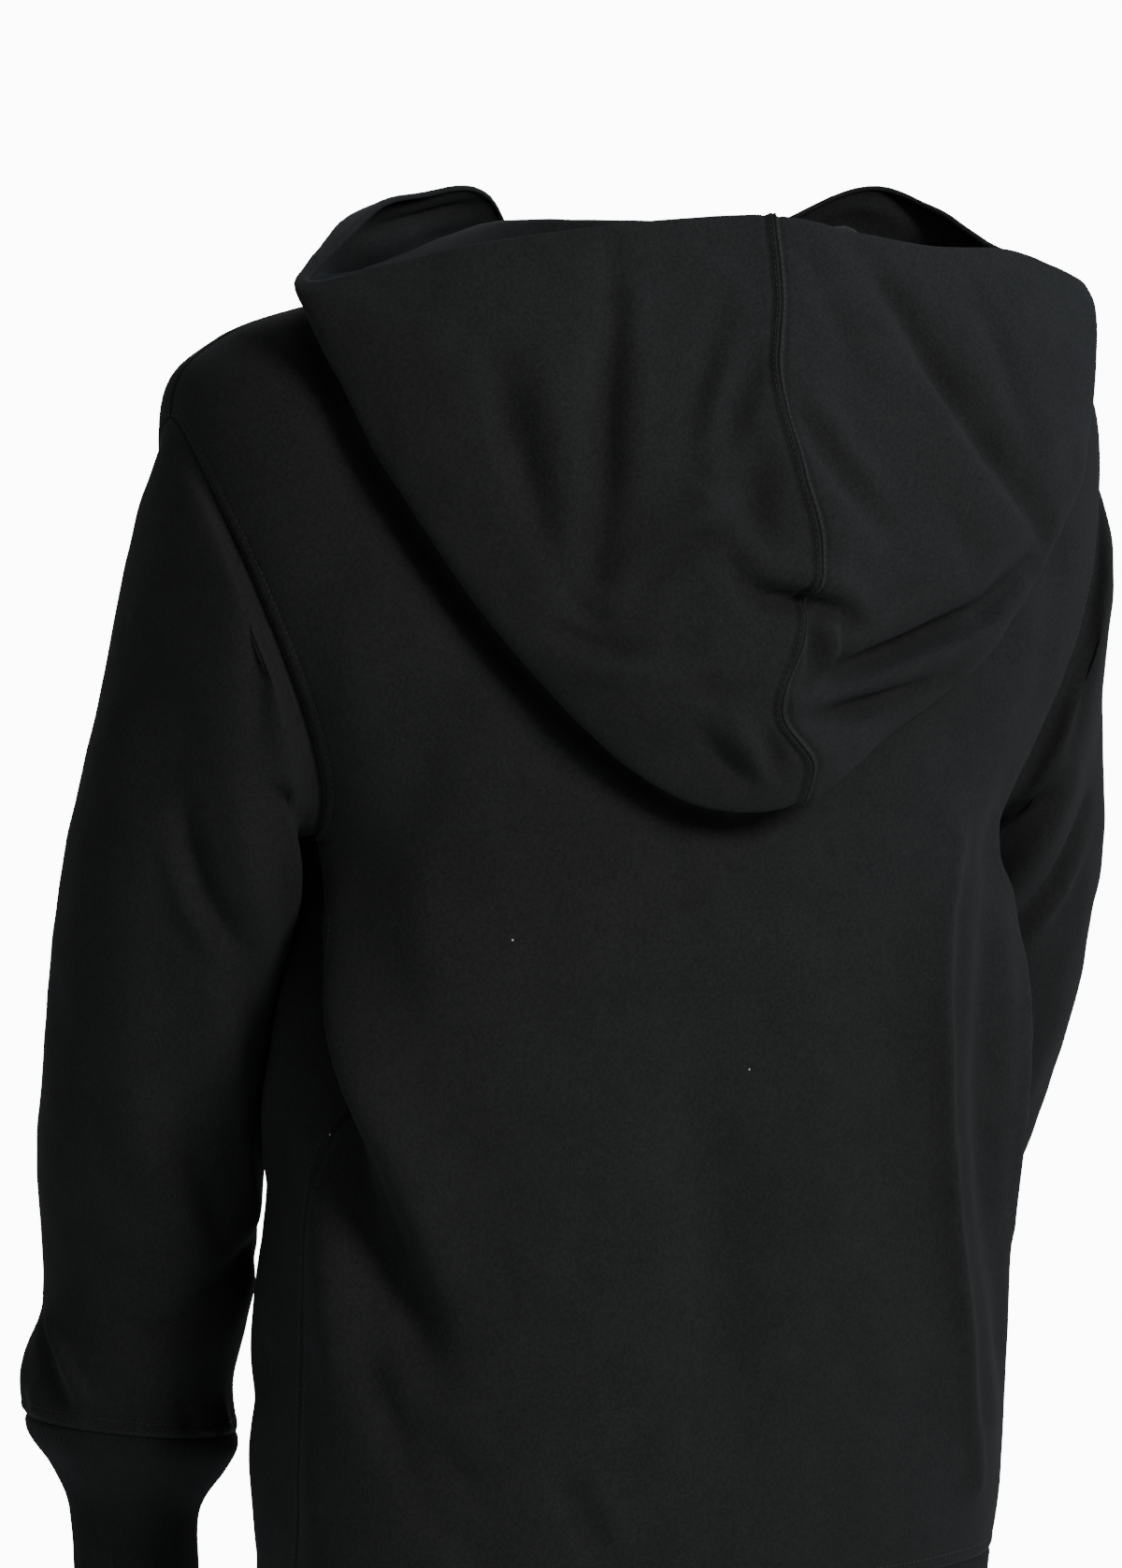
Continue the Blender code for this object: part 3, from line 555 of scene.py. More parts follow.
def armhole_share(level, cut):
    """How much of a half panel is left at a level, next to the armhole."""
    place = np.clip((np.asarray(level, float) - UNDERARM) / (SHOULDER - UNDERARM), 0, 1)
    return 1 - cut * np.sin(pi * place ** ARMHOLE_SCOOP) ** ARMHOLE_CORNER


def armhole_levels():
    even = np.linspace(0, 1, ARMHOLE_ROWS + 1)
    return UNDERARM + (SHOULDER - UNDERARM) * (0.5 * even + 0.25 * (1 - np.cos(pi * even)))


def spaced(length, near_start, near_end):
    """Places from 0 to length, close together at the ends that are seams."""
    edge = np.array(EDGE_SPACING)
    start = edge if near_start else np.array([0.0])
    end = length - (edge if near_end else np.array([0.0]))[::-1]
    count = max(int(round((end[0] - start[-1]) / ROW_SPACING)), 1)
    middle = np.linspace(start[-1], end[0], count + 1)[1:-1]
    return np.concatenate([start, middle, end]) / length


def panel_levels():
    """Levels of a panel's rows, closer together at the waistband and neckline seams."""
    lift = SEAM_GAP / (BODY[BAND_TOP + 1].side_z - BODY[BAND_TOP].side_z)
    lower = BAND_TOP + lift + (UNDERARM - BAND_TOP - lift) * spaced(LOWER_PANEL, True, False)
    upper = SHOULDER + (NECKLINE - SHOULDER) * spaced(UPPER_PANEL, False, True)
    return np.concatenate([lower[:-1], armhole_levels(), upper[1:]])


def panel_shares():
    """Shares of a panel's columns, closer together at its side edges."""
    edge = HALF_PANEL - np.array(EDGE_SPACING)
    count = int(round(edge[-1] / PANEL_SPACING))
    inside = np.linspace(0, edge[-1], count + 1)
    positive = np.concatenate([inside[1:-1], edge[::-1]]) / HALF_PANEL
    return np.concatenate([-positive[::-1], [0.0], positive])


# Meshes and pieces

def runs(points, axis):
    """Distance along the cloth from its first row or column."""
    steps = np.linalg.norm(np.diff(points, axis=axis), axis=-1)
    return np.insert(np.cumsum(steps, axis=axis), 0, 0.0, axis=axis)


def closed(points):
    """The points of a tube with its first column again at the end."""
    return np.concatenate([points, points[:, :1]], axis=1)


def grid_normals(points, tube=False):
    down = np.gradient(points, axis=0)
    if tube:
        across = np.roll(points, -1, axis=1) - np.roll(points, 1, axis=1)
    else:
        across = np.gradient(points, axis=1)
    return unit(np.cross(down, across))


def slant(from_seam, direction):
    """How far the inner side of the cloth is shifted near a seam."""
    return SEAM_SLANT * near(from_seam, SLANT_REACH)[..., None] * direction


def cloth_wall(name, outer, normals, wall, materials, tube=False, shift=0.0):
    """A closed wall of cloth. Its UV map is the distance over the cloth in metres."""
    rows, columns = outer.shape[:2]
    inner = outer - np.broadcast_to(wall, (rows, columns))[..., None] * normals + shift
    whole = closed(outer) if tube else outer
    across, along = runs(whole, 1), runs(whole, 0)
    span = np.cross(outer[1:, :-1] - outer[:-1, :-1], outer[:-1, 1:] - outer[:-1, :-1])
    forward = np.sum(span * normals[:-1, :-1]) > 0
    quads, places, slots = [], [], []

    def add(r, c, layer, flip, slot):
        """Quads with corner rows r, corner columns c and corner layers."""
        flip = flip == forward
        r, c, layer = (np.broadcast_to(v, r.shape) for v in (r, c, layer))
        if flip:
            r, c, layer = r[:, ::-1], c[:, ::-1], layer[:, ::-1]
        quads.append(layer * rows * columns + r * columns + c % columns)
        places.append(np.stack([across[r, c], along[r, c]], -1))
        slots.append(np.full(len(r), slot))

    last = columns if tube else columns - 1
    i, j = (v.ravel() for v in np.meshgrid(np.arange(rows - 1), np.arange(last), indexing="ij"))
    r, c = np.stack([i, i + 1, i + 1, i], -1), np.stack([j, j, j + 1, j + 1], -1)
    add(r, c, np.zeros(4, int), False, 0)
    add(r, c, np.ones(4, int), True, 1)
    j = np.arange(last)
    c = np.stack([j, j + 1, j + 1, j], -1)
    add(np.zeros_like(c), c, np.array([0, 0, 1, 1]), False, 0)
    add(np.full_like(c, rows - 1), c, np.array([0, 0, 1, 1]), True, 0)
    if not tube:
        i = np.arange(rows - 1)
        r = np.stack([i, i + 1, i + 1, i], -1)
        add(r, np.zeros_like(r), np.array([0, 0, 1, 1]), True, 0)
        add(r, np.full_like(r, columns - 1), np.array([0, 0, 1, 1]), False, 0)
    quads, places = np.concatenate(quads), np.concatenate(places)
    mesh = bpy.data.meshes.new(name)
    vertices = np.concatenate([outer.reshape(-1, 3), inner.reshape(-1, 3)])
    mesh.from_pydata(vertices.tolist(), [], quads.tolist())
    mesh.uv_layers.new(name="cloth").data.foreach_set("uv", places.ravel())
    mesh.polygons.foreach_set("material_index", np.concatenate(slots))
    mesh.shade_smooth()
    for material in materials:
        mesh.materials.append(material)
    mesh.update()
    piece = bpy.data.objects.new(name, mesh)
    bpy.context.scene.collection.objects.link(piece)
    return piece


def dress(name, node, slot, points, normals, wall, tube=False, shift=0.0):
    materials = fleece_materials() if slot == "fleece" else rib_materials()
    piece = cloth_wall(name, points, normals, wall, materials, tube, shift)
    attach(piece, "root")
    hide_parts(node)


def seam_relief(distance, stitches):
    """How the cloth dips at a seam and under its rows of stitches, by the distance from it."""
    settings = bpy.context.scene.hoodie_stitching
    relief = -settings.seam_dip * near(distance, 0.0011)
    for place in stitches:
        relief = relief - settings.stitch_dip * near(distance - place, 0.0009)
    if stitches:
        middle, half = (stitches[0] + stitches[-1]) / 2, (stitches[-1] - stitches[0]) / 2 + 0.0012
        relief = relief + 0.6 * settings.stitch_dip * np.exp(-((distance - middle) / half) ** 4)
    return relief


def twin_rows():
    """The places of the two rows of stitches beside a seam."""
    settings = bpy.context.scene.hoodie_stitching
    return settings.first_row, settings.first_row + settings.twin_gap


def line_at(points, distance, target):
    """The line across a grid's rows at which the distance has the target value."""
    line = []
    for row, away in zip(points, distance):
        order = np.argsort(away)
        line.append([np.interp(target, away[order], row[order, k]) for k in range(3)])
    return np.array(line)


STITCH_LINES = []


# Materials

def set_inputs(made, values):
    for name, value in values.items():
        made.inputs[name].default_value = value


def node(tree, kind, location, inputs=None, **settings):
    """Add a node with its settings and the values of its inputs."""
    made = tree.nodes.new(kind)
    made.location = location
    for name, value in settings.items():
        setattr(made, name, value)
    set_inputs(made, inputs or {})
    return made


def wire(tree, *rows):
    """Link nodes. Each row is a node, its output, the next node and its input."""
    for source, output, target, entry in rows:
        tree.links.new(source.outputs[output], target.inputs[entry])


def new_material(name, **values):
    """A material, its node tree and its shader with the given values of inputs."""
    material = bpy.data.materials.new(name)
    material.use_nodes = True
    shader = material.node_tree.nodes["Principled BSDF"]
    set_inputs(shader, {entry.replace("_", " "): value for entry, value in values.items()})
    return material, material.node_tree, shader


def cloth_material(name, dark, light, sheen, knit_width, knit_strength, fuzz_strength, lint):
    """Matte cotton cloth: heathered yarn, soft fuzz and fine knit, with sparse lint."""
    material, tree, shader = new_material(
        name, Roughness=0.93, Metallic=0.0, Specular_IOR_Level=0.14, Sheen_Weight=sheen,
        Sheen_Roughness=0.42, Sheen_Tint=(0.62, 0.76, 1.0, 1.0))
    place = node(tree, "ShaderNodeTexCoord", (-1500, 200))
    yarn = node(tree, "ShaderNodeTexNoise", (-1250, 420),
                {"Scale": 560.0, "Detail": 3.0, "Roughness": 0.7})
    cloud = node(tree, "ShaderNodeTexNoise", (-1250, 160),
                 {"Scale": 34.0, "Detail": 4.0, "Roughness": 0.62})
    heather = node(tree, "ShaderNodeMapRange", (-1020, 420), {"From Min": 0.34, "From Max": 0.68})
    drift = node(tree, "ShaderNodeMapRange", (-1020, 160),
                 {"From Min": 0.35, "From Max": 0.65, "To Min": -0.13, "To Max": 0.13})
    tone = node(tree, "ShaderNodeMath", (-820, 320), operation="ADD", use_clamp=True)
    colour = node(tree, "ShaderNodeMix", (-620, 320), {"A": (*dark, 1), "B": (*light, 1)},
                  data_type="RGBA")
    specks = node(tree, "ShaderNodeTexVoronoi", (-1250, -120), {"Scale": 20.0, "Randomness": 1.0},
                  feature="F1")
    speck = node(tree, "ShaderNodeMapRange", (-1020, -120),
                 {"From Min": 0.0130, "From Max": 0.0085, "To Max": lint})
    linted = node(tree, "ShaderNodeMix", (-400, 260), {"B": (0.35, 0.36, 0.37, 1)}, data_type="RGBA")
    wales = node(tree, "ShaderNodeTexWave", (-1250, -420),
                 {"Scale": 0.314 / knit_width, "Distortion": 0.6, "Detail": 1.0},
                 wave_type="BANDS", bands_direction="X")
    fuzz = node(tree, "ShaderNodeTexNoise", (-1250, -700),
                {"Scale": 1300.0, "Detail": 3.0, "Roughness": 0.75})
    knit = node(tree, "ShaderNodeBump", (-620, -420), {"Strength": knit_strength, "Distance": 0.0004})
    nap = node(tree, "ShaderNodeBump", (-400, -420), {"Strength": fuzz_strength, "Distance": 0.0005})
    wire(tree, *[(place, "Object", texture, "Vector") for texture in (yarn, cloud, specks, fuzz)],
         (yarn, "Fac", heather, "Value"), (cloud, "Fac", drift, "Value"),
         (heather, "Result", tone, 0), (drift, "Result", tone, 1), (tone, 0, colour, "Factor"),
         (specks, "Distance", speck, "Value"), (speck, "Result", linted, "Factor"),
         (colour, "Result", linted, "A"), (linted, "Result", shader, "Base Color"),
         (place, "UV", wales, "Vector"), (wales, "Fac", knit, "Height"), (fuzz, "Fac", nap, "Height"),
         (knit, "Normal", nap, "Normal"), (nap, "Normal", shader, "Normal"))
    return material


def made_once(name, make):
    return bpy.data.materials.get(name) or make()


def fleece_materials():
    """The smooth outside and the brushed inside of the fleece."""
    colours = bpy.context.scene.hoodie_cloth
    face = made_once("fleece_face", lambda: cloth_material(
        "fleece_face", colours.face_dark, colours.face_light, colours.sheen,
        knit_width=0.0012, knit_strength=0.25, fuzz_strength=0.45, lint=1.0))
    inside = made_once("fleece_inside", lambda: cloth_material(
        "fleece_inside", colours.face_dark, colours.face_light, 1.5 * colours.sheen,
        knit_width=0.0030, knit_strength=0.05, fuzz_strength=0.8, lint=0.4))
    return face, inside


def rib_materials():
    """The rib, which is the same on both sides."""
    colours = bpy.context.scene.hoodie_cloth
    rib = made_once("rib_knit", lambda: cloth_material(
        "rib_knit", colours.rib_dark, colours.rib_light, colours.sheen,
        knit_width=0.0011, knit_strength=0.35, fuzz_strength=0.35, lint=0.6))
    return rib, rib


def thread_material():
    colour = bpy.context.scene.hoodie_cloth.thread
    material, tree, shader = new_material("sewing_thread", Roughness=0.5, Specular_IOR_Level=0.4)
    place = node(tree, "ShaderNodeTexCoord", (-900, 0))
    twist = node(tree, "ShaderNodeTexNoise", (-700, 0), {"Scale": 2200.0})
    ends = {"A": (*[0.6 * v for v in colour], 1), "B": (*[1.4 * v for v in colour], 1)}
    shade = node(tree, "ShaderNodeMix", (-450, 0), ends, data_type="RGBA")
    wire(tree, (place, "Object", twist, "Vector"), (twist, "Fac", shade, "Factor"),
         (shade, "Result", shader, "Base Color"))
    return material


# Body panels and waistband

def panel(around_of):
    """A front or back panel with relief along its seams, and its rows of stitches."""
    levels = panel_levels()
    level, share = np.meshgrid(levels, panel_shares(), indexing="ij")
    around = around_of(level, share)
    points = body(level, around)
    normals = facing_out(grid_normals(points), points)
    row_run, from_hem = runs(points, 1), runs(points, 0)
    from_side = np.minimum(row_run, row_run[:, -1:] - row_run)
    from_neck = from_hem[-1:] - from_hem
    # towards its joined edges the wall turns into the same direction as its neighbour's
    ends = level[:, [0, -1]], around[:, [0, -1]]
    by_arm = eased(UNDERARM - 0.5, UNDERARM, ends[0]) * (1 - eased(SHOULDER, SHOULDER + 0.5, ends[0]))
    edge = outward(body, *ends) * (1 - by_arm)[..., None] + outward(solid_body, *ends) * by_arm[..., None]
    half = points.shape[1] // 2
    on_left = np.arange(points.shape[1])[None, :, None] >= half
    beside = np.where(on_left, edge[:, 1:], edge[:, :1])
    for distance, turned in (from_side, beside), (from_neck, outward(solid_body, level[-1], around[-1])):
        share = near(distance, EDGE_BLEND)[..., None]
        normals = unit(normals * (1 - share) + turned * share)
    on_armhole = ((levels > UNDERARM) & (levels < SHOULDER))[:, None]
    twin = twin_rows()
    cover = (0.5 * bpy.context.scene.hoodie_stitching.cover_gap,)
    relief = np.where(on_armhole, seam_relief(from_side, twin), seam_relief(from_side, cover))
    relief = relief + seam_relief(from_hem, twin) + seam_relief(from_neck, twin)
    points = points + normals * relief[..., None]
    for part in slice(half, None), slice(0, half + 1):
        for rows, places in ((levels >= UNDERARM) & (levels <= SHOULDER), twin), \
                (levels <= UNDERARM, cover), (levels >= SHOULDER, cover):
            for place in places:
                line = line_at(points[rows][:, part], from_side[rows][:, part], place)
                STITCH_LINES.append(line[:-NECK_MARGIN] if rows[-1] else line)
    inner = slice(SIDE_MARGIN, -SIDE_MARGIN)
    for away in from_hem, from_neck:
        for place in twin:
            STITCH_LINES.append(line_at(points.transpose(1, 0, 2)[inner], away.T[inner], place))
    below = 1 - eased(UNDERARM - 1, UNDERARM, level)
    return points, normals, below[..., None] * slant(from_side, np.array([0.0, 1.0, 0.0]))


def back_around(level, share):
    return share * (armhole_share(level, ARMHOLE_BACK_CUT) - SEAM_GAP)


def front_around(level, share):
    kept = share * (armhole_share(level, ARMHOLE_FRONT_CUT) - SEAM_GAP)
    return np.where(kept >= 0, 2 - kept, -2 - kept)


def ribs(points):
    """Ribs of equal width round a band, as a height below the cloth's face."""
    settings = bpy.context.scene.hoodie_cloth
    run = runs(closed(points), 1)
    run, length = run[:, :-1], run[:, -1:]
    count = max(round(float(np.max(length)) / settings.rib_pitch), 1)
    return -0.5 * settings.rib_depth * (1 - np.cos(2 * pi * count * run / length))


class HOODIE_OT_body(bpy.types.Operator):
    """Make the back and front panels of the body"""

    bl_idname = "hoodie.body"
    bl_label = "Body panels"

    def execute(self, context):
        for name, around_of, cut in (("back", back_around, (0.58, 0.74)),
                                     ("front", front_around, (0.58, 0.70))):
            points, normals, shift = panel(around_of)
            dress(name + "_cloth", name, "fleece", points, normals,
                  context.scene.hoodie_cloth.fleece_wall, shift=shift)
        return {"FINISHED"}


class HOODIE_OT_waistband(bpy.types.Operator):
    """Make the ribbed waistband"""

    bl_idname = "hoodie.waistband"
    bl_label = "Waistband"

    def execute(self, context):
        settings = context.scene.hoodie_cloth
        around = np.linspace(-2, 2, settings.band_columns + 1)[:-1]
        drop = spaced(BAND_HEIGHT, True, True)
        points = body(*np.meshgrid(BAND_TOP * drop, around, indexing="ij"))
        normals = facing_out(grid_normals(points, tube=True), points)
        height = BAND_HEIGHT * drop[:, None]
        below = BAND_HEIGHT - height
        ease = eased(0, RIB_START, height) * eased(0, RIB_END, below)
        edge = -0.0016 * near(height, 0.0018) - 0.0008 * near(below, 0.0012)
        sag = BAND_SWELL.height * unevenness(points, BAND_SWELL)
        points = points + normals * (ribs(points) * ease + edge + sag * ease)[..., None]
        dress("waistband_rib", "waistband", "rib",
              points, normals, settings.rib_wall, tube=True)
        return {"FINISHED"}


# Sleeves and cuffs

def armhole_loop(side):
    """The armhole's edge, from the shoulder down the back and up the front."""
    levels = armhole_levels()
    down, up = levels[::-1], levels[1:-1]
    level = np.concatenate([down, up])
    back = armhole_share(down, ARMHOLE_BACK_CUT)
    front = 2 - armhole_share(up, ARMHOLE_FRONT_CUT)
    return level, side * np.concatenate([back, front])


def sleeve_guides(side):
    """Guide points down the sleeve and cuff for each place round the armhole."""
    level, around = armhole_loop(side)
    edge = body(level, around)
    normal = outward(solid_body, level, around)
    along_edge = np.roll(edge, -1, axis=0) - np.roll(edge, 1, axis=0)
    leave = unit(np.cross(along_edge, normal)) * side
    steps = np.linalg.norm(np.roll(edge, -1, axis=0) - edge, axis=1)
    run = np.concatenate([[0.0], np.cumsum(steps)])
    half = ARMHOLE_ROWS
    turn = np.concatenate([pi * run[:half] / run[half],
                           pi + pi * (run[half:-1] - run[half]) / (run[-1] - run[half])])
    rings = [edge + SEAM_GAP * leave]
    for section in SLEEVE + CUFF:
        middle = section.x if side > 0 else section.x + section.right_out
        x = middle + section.half_width * np.cos(turn)
        y = section.y + section.half_depth * np.sin(turn)
        z = section.z + section.lift * np.cos(turn)
        rings.append(np.stack([side * x, y, z], -1))
    reach = np.linalg.norm(rings[1] - rings[0], axis=1, keepdims=True)
    low = (0.5 - 0.5 * np.cos(turn))[:, None]
    start = unit(leave + SLEEVE_PUFF * low * normal) * reach
    return np.array(rings), start, normal, turn


def read_guides(rings, start, at):
    """Read the sleeve between its guide rings, with the given start direction."""
    slopes = np.empty_like(rings)
    slopes[0] = start
    slopes[1:-1] = (rings[2:] - rings[:-2]) / 2
    slopes[-1] = rings[-1] - rings[-2]
    return curve_at(rings, slopes, at)


def tube_normals(rings, start, at, side):
    down = read_guides(rings, start, at + SLOPE_STEP) - read_guides(rings, start, at - SLOPE_STEP)
    points = read_guides(rings, start, at)
    round_it = np.roll(points, -1, axis=1) - np.roll(points, 1, axis=1)
    return unit(np.cross(down, round_it)) * side


def sleeve_rise(points, turn, side, from_armhole, from_cuff):
    """Creases, soft unevenness and the fullness above the cuff."""
    shift, drop = (0.0, 0.0) if side > 0 else (RIGHT_SLEEVE_TURN, RIGHT_SLEEVE_DROP)
    across = turn * SLEEVE_TURN_WIDTH - shift
    height = points[..., 2] + drop
    wrapped = across - 2 * pi * SLEEVE_TURN_WIDTH
    rise = fold_height(SLEEVE_CREASES, across, height) + fold_height(SLEEVE_CREASES, wrapped, height)
    for swell in SLEEVE_SWELLS:
        rise = rise + swell.height * unevenness(points, swell, side)
    gathers = np.sin(11 * turn + 1.7 * np.sin(3 * turn)) + 0.6 * np.sin(19 * turn + 2.0)
    near_cuff = near(from_cuff - 0.010, 0.012)
    rise = rise * eased(0.0, 0.020, from_armhole) * eased(0.0, 0.006, from_cuff)
    return rise + 0.0008 * gathers * near_cuff * eased(0.0, 0.004, from_cuff)


class HOODIE_OT_sleeves(bpy.types.Operator):
    """Make the sleeves and their ribbed cuffs"""

    bl_idname = "hoodie.sleeves"
    bl_label = "Sleeves and cuffs"

    def execute(self, context):
        for word, side in (("left", 1), ("right", -1)):
            self.sleeve(context, word, side)
            self.cuff(context, word, side)
        return {"FINISHED"}

    def sleeve(self, context, word, side):
        rings, start, edge_normal, turn = sleeve_guides(side)
        at = len(SLEEVE) * spaced(SLEEVE_LENGTH, True, True)
        points = read_guides(rings, start, at)
        normals = tube_normals(rings, start, at, side)
        normals[0] = edge_normal
        from_armhole = runs(points, 0)
        from_cuff = from_armhole[-1:] - from_armhole
        turns = np.broadcast_to(turn, from_cuff.shape)
        rise = sleeve_rise(points, turns, side, from_armhole, from_cuff)
        rise = rise + seam_relief(from_armhole, ()) + seam_relief(from_cuff, twin_rows())
        underarm = np.abs(turns - pi) * SLEEVE_TURN_WIDTH
        rise = rise - 0.0009 * near(underarm, 0.0014) * eased(0.0, 0.01, from_armhole)
        points = points + normals * rise[..., None]
        for place in twin_rows():
            line = line_at(points.transpose(1, 0, 2), from_cuff.T, place)
            STITCH_LINES.append(np.concatenate([line, line[:1]]))
        dress("sleeve_cloth_" + word, "sleeve_" + word, "fleece",
              points, normals, context.scene.hoodie_cloth.fleece_wall, tube=True)

    def cuff(self, context, word, side):
        settings = context.scene.hoodie_cloth
        rings = closed(sleeve_guides(side)[0])
        gap = SEAM_GAP / (SLEEVE[-1].z - CUFF[0].z)
        at = len(SLEEVE) + gap + (len(CUFF) - gap) * spaced(CUFF_LENGTH, True, True)
        base = np.arange(rings.shape[1])
        fine = np.linspace(0, base[-1], settings.cuff_columns + 1)[:-1]
        rings = np.array([np.stack([np.interp(fine, base, ring[:, k]) for k in range(3)], -1)
                          for ring in rings])
        start = np.zeros_like(rings[0])
        points = read_guides(rings, start, at)
        normals = tube_normals(rings, start, at, side)
        run = runs(points, 0)
        left = run[-1:] - run
        ease = eased(0, RIB_START, run) * eased(0, RIB_END, left)
        edge = -0.0014 * near(left, 0.0018) - 0.0012 * near(run, 0.0014)
        soft = CUFF_SWELL.height * unevenness(points, CUFF_SWELL, side) * eased(0, 0.010, run)
        points = points + normals * (ribs(points) * ease + edge + soft)[..., None]
        dress("cuff_rib_" + word, "cuff_" + word, "rib",
              points, normals, settings.rib_wall, tube=True)


# Hood

def hood_guides(around):
    """Seven guide points along the hood's cloth at each place round the neck."""
    places = [station.around for station in HOOD]
    rows = smooth_rows(places, HOOD, around)
    fold, rim = rows[..., 1:4], rows[..., 4:7]
    bulge, turn_out, turn_up = rows[..., 7:8], rows[..., 8:9], rows[..., 9:10]
    level = np.full(around.shape, float(NECKLINE))
    neck = solid_body(level, around)
    along = unit(neck - solid_body(level - SLOPE_STEP, around))
    away = unit(np.concatenate([neck[..., :2], np.zeros_like(neck[..., :1])], -1))
    up = np.array([0.0, 0.0, 1.0])
    first = neck + SEAM_GAP * along
    turned = neck + away * turn_out + up * turn_up
    under = 0.5 * turned + 0.5 * fold
    rise = rim - fold
    out = unit(away + np.array([0.0, 0.6, 0.0]) * np.clip(fold[..., 1:2] / 0.1, 0, 1))
    low = fold + LOW_OUTER * rise + 0.9 * bulge * out
    high = fold + HIGH_OUTER * rise + bulge * out
    guides = np.stack([first, turned, under, fold, low, high, rim], 0)
    slopes = np.empty_like(guides)
    slopes[0] = along * np.maximum(turn_up, 0.004)
    slopes[1:-1] = (guides[2:] - guides[:-2]) / 2
    slopes[1] = 0.35 * (guides[2] - guides[0])
    slopes[HOOD_FOLD] = out * FOLD_ROUND * np.clip(bulge / 0.012, 0.6, 1.4)
    slopes[-1] = rim - high
    return guides, slopes


def hood_base(steps, places):
    """The hood without folds, a row for each step and a column for each place round it."""
    point = curve_at(*hood_guides(places), steps)
    outer = np.clip((steps - HOOD_FOLD) / 0.5, 0, 1)[:, None]
    wander = smooth_rows(SEAM_WANDER[:, 0], SEAM_WANDER[:, 1:], point[..., 2])[..., 0]
    point[..., 0] += wander * outer * near(places, SEAM_WANDER_REACH)
    return point


def hump_shift(steps, places):
    """How the hood's sides beside the neck lean forward at the rim, back below it, and rise."""
    away = np.abs(places)
    beside = eased(*HUMP_START, away) * (1 - eased(*HUMP_END, away))
    rim = HUMP_LEAN * eased(*LEAN_STEPS, steps)
    belly = -HUMP_BELLY * near(steps - BELLY_STEP, BELLY_REACH)
    lean = (rim + belly)[:, None] * beside
    risen = sum(hump.height * near(places - hump.place, hump.reach) for hump in HUMP_RISES)
    rise = eased(*RISE_STEPS, steps)[:, None] * risen
    return lean[..., None] * LEAN_DIRECTION + rise[..., None] * np.array([0.0, 0.0, 1.0])


def hood(steps, places):
    """The hood's cloth with its main folds on the outer layer."""
    point = hood_base(steps, places)
    outer = np.clip((steps - HOOD_FOLD) / 0.4, 0, 1)[:, None]
    behind = np.clip((1.0 - np.abs(places)) / 0.15, 0, 1)
    rise = fold_height(HOOD_FOLDS, point[..., 0], point[..., 2]) * outer * behind
    return point + grid_normals(point) * rise[..., None]


def lay_lift():
    """How far the hood is lifted to lie on the body, at the steps and places of its solid."""
    back = np.linspace(-1, 1, LAY_BACK + 1)
    front = np.linspace(0, 1, LAY_FRONT + 1)
    ring = np.concatenate([front - 2, back[1:-1], 2 - front[::-1]])
    steps = np.array(LAY_STEPS, float)
    cloth = hood(steps, ring)
    clearance = HOOD_CLEARANCE * np.clip(steps / CLEARANCE_START, 0, 1) - SEAM_GAP
    level, round_it = np.meshgrid(np.linspace(UNDERARM - 1, NECKLINE, TREE_LEVELS),
                                  np.linspace(-2, 2, TREE_AROUND), indexing="ij")
    shell = solid_body(level, round_it)
    points, normals = shell.reshape(-1, 3), facing_out(grid_normals(shell), shell).reshape(-1, 3)
    tree = kdtree.KDTree(len(points))
    for index, point in enumerate(points):
        tree.insert(point, index)
    tree.balance()
    lift = np.zeros_like(cloth)
    for place in np.ndindex(cloth.shape[:2]):
        found = tree.find_n(cloth[place], LAID_NEIGHBOURS)
        around = [index for _, index, _ in found]
        weight = np.array([1 / (distance + LAID_SOFTNESS) for _, _, distance in found])
        weight /= weight.sum()
        normal = unit(weight @ normals[around])
        height = weight @ np.sum((cloth[place] - points[around]) * normals[around], axis=1)
        lift[place] = normal * max(clearance[place[0]] - height, 0.0)
    return ring, lift


def hood_steps():
    """Steps of the hood's rows, closer together at the turn, the fold and the rim."""
    ends = [low for low, _ in HOOD_ROWS[1:]] + [HOOD_RIM]
    parts = [np.linspace(low, high, count)[:-1] for (low, count), high in zip(HOOD_ROWS, ends)]
    return np.concatenate(parts + [[HOOD_RIM]])


def hood_places():
    """Places round the hood's columns, closer together at the centre seam."""
    edge = np.array(EDGE_SPACING) / HALF_HOOD
    back = np.linspace(edge[-1], 1.0, int(round((1 - edge[-1]) * HALF_HOOD / HOOD_SPACING)))
    front = np.linspace(1.0, 2.0, HOOD_FRONT_PLACES)
    positive = np.concatenate([edge[1:], back[1:], front[1:]])
    return np.concatenate([-positive[::-1], [0.0], positive])


